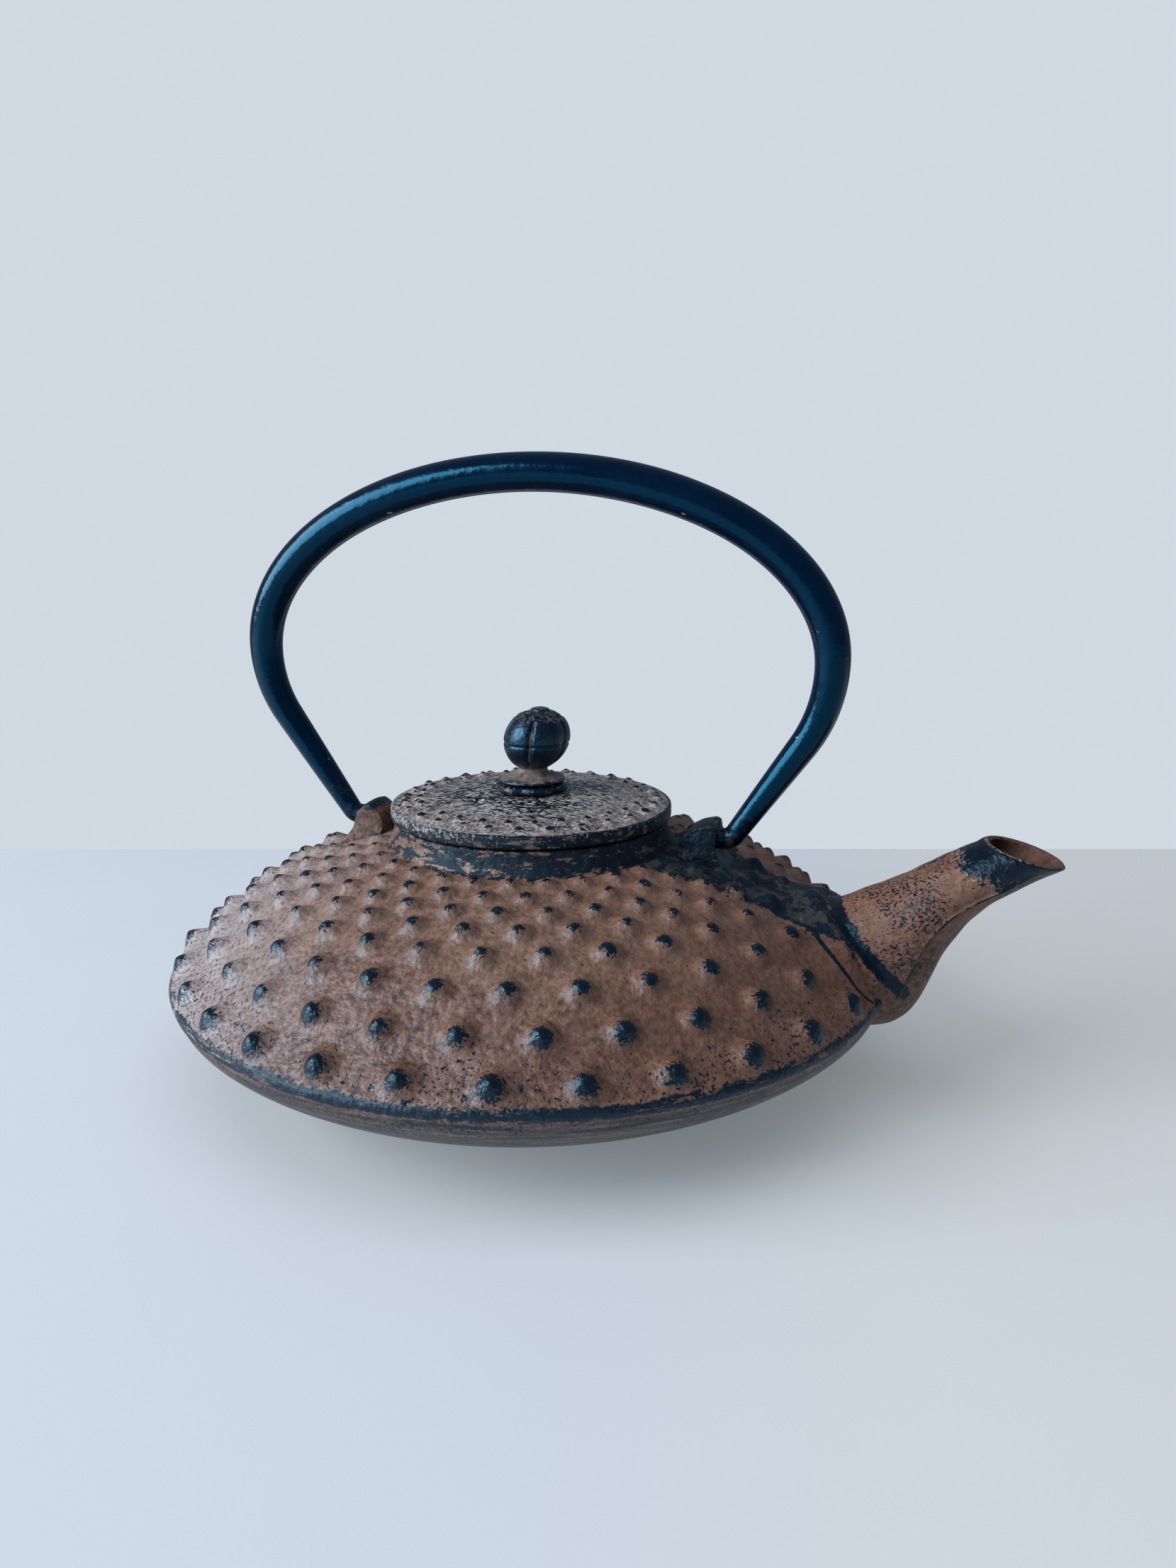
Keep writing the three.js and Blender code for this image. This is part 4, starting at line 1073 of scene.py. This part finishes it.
def drilled_floor(radius, low, high, pitch, hole):
    """Points and faces of a round plate with a honeycomb of holes."""
    row_pitch = pitch * 0.866
    points = [(radius * math.cos(a), radius * math.sin(a)) for a in circle(FLOOR_SIDES)]
    edges = [(i, (i + 1) % FLOOR_SIDES) for i in range(FLOOR_SIDES)]
    centres = []
    rows = int(radius / row_pitch)
    for row in range(-rows, rows + 1):
        for column in range(-rows - 2, rows + 3):
            centre = ((column + (row % 2) / 2) * pitch, row * row_pitch)
            if math.hypot(*centre) < radius - pitch:
                centres.append(centre)
    for x, y in centres:
        edges += [(len(points) + k, len(points) + (k + 1) % 8) for k in range(8)]
        points += [(x + hole * math.cos(a), y + hole * math.sin(a)) for a in circle(8, 0)]
    flat, _, triangles, *_ = delaunay_2d_cdt([Vector(p) for p in points], edges, [], 0, 1e-4)
    holes = np.array(centres)

    def is_metal(triangle):
        middle = np.mean([flat[i] for i in triangle], axis=0)
        return np.hypot(*(holes - middle).T).min() > hole * 0.95

    kept = [tuple(triangle) for triangle in triangles if is_metal(triangle)]
    count = len(flat)
    vertices = [(p.x, p.y, z) for z in (high, low) for p in flat]
    faces = kept + [tuple(i + count for i in triangle[::-1]) for triangle in kept]
    used = {(t[k], t[(k + 1) % 3]): None for t in kept for k in range(3)}
    faces += [(b, a, a + count, b + count) for a, b in used if (b, a) not in used]
    return vertices, faces


def join(name, ring, vertices, faces):
    """A ring of metal, and the points and faces of the plate inside it, as one object."""
    points = [tuple(vertex.co / MM) for vertex in ring.data.vertices]
    sides = [tuple(polygon.vertices) for polygon in ring.data.polygons]
    sides += [tuple(i + len(points) for i in face) for face in faces]
    bpy.data.objects.remove(ring)
    return make_mesh(name, points + vertices, sides, sharp_degrees=35)


# ---- Building the pieces ----


def settle(piece, paint, body, slot, *nodes):
    """Paints a piece, rides it on its body and hides the CAD nodes it stands for. Its slot, the name of
    its finish, is not used.
    """
    piece.data.materials.clear()
    piece.data.materials.append(paint)
    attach(piece, body)
    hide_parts(*nodes)
    return piece


def spout_piece():
    starts = root_share(lambda shares: -spout_wall(shares))
    shares = starts[None] + (1 - starts[None]) * np.linspace(0, 1, 60)[:, None]
    inner = bore_grid(shares, spout_angles)[::-1]
    rim = [
        spout_grid[-1] * (1 - part) + inner[0] * part + np.array([0.22, 0, 0.42]) * lift
        for part, lift in ((0.25, 0.75), (0.5, 1), (0.75, 0.75))
    ]
    grid = np.concatenate([spout_grid, rim, inner])

    def marks(values, rest):
        return np.concatenate([values, np.full((len(rim) + len(inner), SPOUT_COLUMNS), float(rest))])

    stripe = bump_at(past_collar, 0.022, 0.03) * smoothstep(140, 120, from_crest_degrees)
    spread = np.clip(1.3 - 2.2 * np.abs(spout_shares - 0.5), 0, 1)
    spread = spread * smoothstep(125, 95, from_crest_degrees)
    place = 0.86 + 0.05 * (1 - np.cos(spout_turns - 0.9))
    facing = 0.35 + 0.65 * smoothstep(-0.9, 0.35, np.cos(spout_turns - 0.95))
    worn_patch = smoothstep(place - 0.16, place + 0.06, spout_shares) * facing
    crest = 0.75 * bump_at(spout_turns % (2 * math.pi), 0, 0.16) * smoothstep(0.45, 0.7, spout_shares)
    lip = 0.6 * smoothstep(0.955, 0.985, spout_shares)
    inside = marks(np.zeros_like(spout_shares), 1)
    inside[SPOUT_STATIONS:SPOUT_STATIONS + 2] = 0
    attributes = {
        "stripe": marks(stripe, 0), "seam": marks(seam_line, 0), "spread": marks(spread, 0),
        "worn": marks(np.maximum.reduce([worn_patch, crest, lip]), 0.5), "inner": inside,
    }
    return lathe("spout_skin", grid, attributes, wrap=True, sharp_degrees=50)


front_top = ((39.2, 62), (41, 63.2), (43.4, 64.5), (45.4, 65.2), (46.5, 64.6), (46.9, 62.8))
rear_top = ((39.2, 62.4), (40.8, 63.9), (42.4, 64.9), (43.8, 64.6), (44.9, 62.7))
settle(pot_skin(), pot_paint(), "pot", "pot_iron", "pot_body")
settle(spout_piece(), spout_paint(), "pot", "spout_iron", "spout")
front_lug = lug_piece("lug_front_fin", 1, front_top, 0)
rear_lug = lug_piece("lug_rear_fin", -1, rear_top, 2.2)
settle(front_lug, lug_paint("lug_front_iron", 0.13, 60), "pot", "pot_iron", "front_lug")
settle(rear_lug, lug_paint("lug_rear_iron", -0.06, 63.2), "pot", "pot_iron", "rear_lug")
settle(bail_piece(), bail_paint(), "bail", "handle_iron", "bail_handle")
settle(lid_piece(), lid_paint(), "lid", "lid_iron", "lid")
settle(seat_piece(), seat_paint(), "lid", "handle_iron", "knob_seat")
settle(knob_piece(), knob_paint(), "knob", "handle_iron", "lid_knob")

steel = steel_paint()
washer_bottom = WASHER_TOP_Z - WASHER_THICKNESS
washer = turned_piece("washer_ring", [
    (STEM_HOLE, washer_bottom), (WASHER_RADIUS, washer_bottom),
    (WASHER_RADIUS, WASHER_TOP_Z), (STEM_HOLE, WASHER_TOP_Z),
], 0.3)
settle(washer, steel, "lid", "lid_iron", "rivet_washer")

collar_inner = BASKET_RADIUS + 0.3
collar_outer = collar_inner + RIM_SHEET
rim = turned_piece("basket_rim", [
    (collar_inner, RIM_COLLAR_BOTTOM_Z), (collar_outer, RIM_COLLAR_BOTTOM_Z),
    (collar_outer, RIM_BOTTOM_Z), (RIM_FLANGE_RADIUS, RIM_BOTTOM_Z),
    (RIM_FLANGE_RADIUS, RIM_BOTTOM_Z + RIM_SHEET), (collar_inner, RIM_BOTTOM_Z + RIM_SHEET),
], 0.35)
settle(rim, steel, "infuser", "basket_steel", "infuser_rim")

floor_top = BASKET_FLOOR_Z + RIM_SHEET
basket = drilled_band(
    "basket_wall", BASKET_RADIUS, BASKET_SHEET, floor_top + 0.3, BASKET_TOP_Z, 60, 17, MESH_HOLE_RADIUS
)
settle(basket, steel, "infuser", "basket_steel", "infuser_basket")

cup = turned_piece("cup_ring", [
    (21, BASKET_FLOOR_Z), (collar_outer, BASKET_FLOOR_Z), (collar_outer, floor_top + BASE_UPTURN),
    (collar_inner, floor_top + BASE_UPTURN), (collar_inner, floor_top), (21, floor_top),
], 0.3)
floor_plate = drilled_floor(21.2, BASKET_FLOOR_Z + 0.1, floor_top - 0.1, 2.5, MESH_HOLE_RADIUS)
settle(join("basket_floor", cup, *floor_plate), steel, "infuser", "basket_steel", "infuser_base")

# ---- Stage, light and camera ----

VIEW_TURN = math.radians(14.8)
VIEW_PITCH = math.radians(12.87)
TABLE_EDGE = 0.486
TABLE_HALF_WIDTH = 2.5
TABLE_DEPTH = 3.0
TABLE_TONE = (0.42, 0.44, 0.475)
TABLE_GLOW = (0.7, 0.81, 0.87)
TABLE_GLOW_RIGHT = (0.9, 0.91, 0.79)
WALL_TONE = (0.63, 0.695, 0.765)
AMBIENT_TONE = (0.62, 0.78, 1.0)
AMBIENT_STRENGTH = 0.27
WINDOW_POWER = 37
ROOM_POWER = 34
SENSOR = 36
FOCAL_LENGTH = 27.6673
right = Vector((math.cos(VIEW_TURN), math.sin(VIEW_TURN), 0))
towards = Vector((math.sin(VIEW_TURN), -math.cos(VIEW_TURN), 0))
up = Vector((0, 0, 1))
eye = Vector((0.08955, -0.28308, 0.139))


def stage_paint():
    p = Paint("pale_table")
    shaded = tuple(c * 0.985 for c in TABLE_TONE)
    colour = p.mix(p.noise(60, 4, 0.6).step(0.3, 0.7), shaded, TABLE_TONE)
    # The table glows, a painted fill light that thins the shadows on it, bluish near the pot for a
    # painted blue contact shadow and warmer grey-green to the right for the shadow's tint there
    glow = p.mix(p.x.step(30, 120), TABLE_GLOW, TABLE_GLOW_RIGHT)
    feed(p.tree, p.shader.inputs["Emission Color"], glow)
    p.shader.inputs["Emission Strength"].default_value = 0.22
    return p.finish(colour, 0.62, p.noise(1.2, 4, 0.6), 0.02)


def table():
    """A flat top whose far edge is where the table meets the wall."""
    far = Vector((eye.x, eye.y, 0)) - towards * TABLE_EDGE
    near = far + towards * TABLE_DEPTH
    side = right * TABLE_HALF_WIDTH
    corners = [tuple(c / MM) for c in (near - side, near + side, far + side, far - side)]
    made = make_mesh("table_top", corners, [(0, 1, 2, 3)])
    made.data.materials.append(stage_paint())


def area_light(name, direction, distance, size, power, colour, glossy=True):
    """A rectangle of light aimed at the pot. One that isn't glossy leaves no reflection of itself."""
    aim = Vector((0, 0, 0.05))
    data = bpy.data.lights.new(name, "AREA")
    data.shape = "RECTANGLE"
    data.size, data.size_y = size
    data.energy = power
    data.color = colour
    made = add_object(name, data)
    made.location = aim + direction.normalized() * distance
    made.visible_glossy = glossy
    made.rotation_mode = "QUATERNION"
    made.rotation_quaternion = (-direction).to_track_quat("-Z", "Y")


table()
window_direction = right * -0.88 + towards * 0.36 + up * 0.42
area_light("window", window_direction, 1.5, (1.3, 1.0), WINDOW_POWER, (0.97, 0.98, 1.0))
area_light("room", towards * 0.3 + up, 2.6, (3.0, 2.4), ROOM_POWER, (0.9, 0.95, 1.0), glossy=False)

# The camera sees a pale wall, and everything else is lit by a dimmer, bluer room
world = bpy.data.worlds.new("pale_room")
world.use_nodes = True
room = world.node_tree
wall = room.nodes["Background"]
feed(room, wall.inputs["Color"], WALL_TONE)
ambient = add_node(room, "ShaderNodeBackground", Color=AMBIENT_TONE, Strength=AMBIENT_STRENGTH)
seen = add_node(room, "ShaderNodeLightPath")
blend = add_node(room, "ShaderNodeMixShader", Fac=seen.outputs["Is Camera Ray"])
feed(room, blend.inputs[1], ambient.outputs["Background"])
feed(room, blend.inputs[2], wall.outputs["Background"])
feed(room, room.nodes["World Output"].inputs["Surface"], blend.outputs["Shader"])
bpy.context.scene.world = world
bpy.context.scene.view_settings.view_transform = "Standard"

lens = bpy.data.cameras.new("view")
lens.sensor_width = SENSOR
lens.lens = FOCAL_LENGTH
lens.clip_start = 0.01
camera = add_object("view", lens)
camera.location = eye
camera.rotation_mode = "XYZ"
camera.rotation_euler = (math.pi / 2 - VIEW_PITCH, 0, VIEW_TURN)
bpy.context.scene.camera = camera
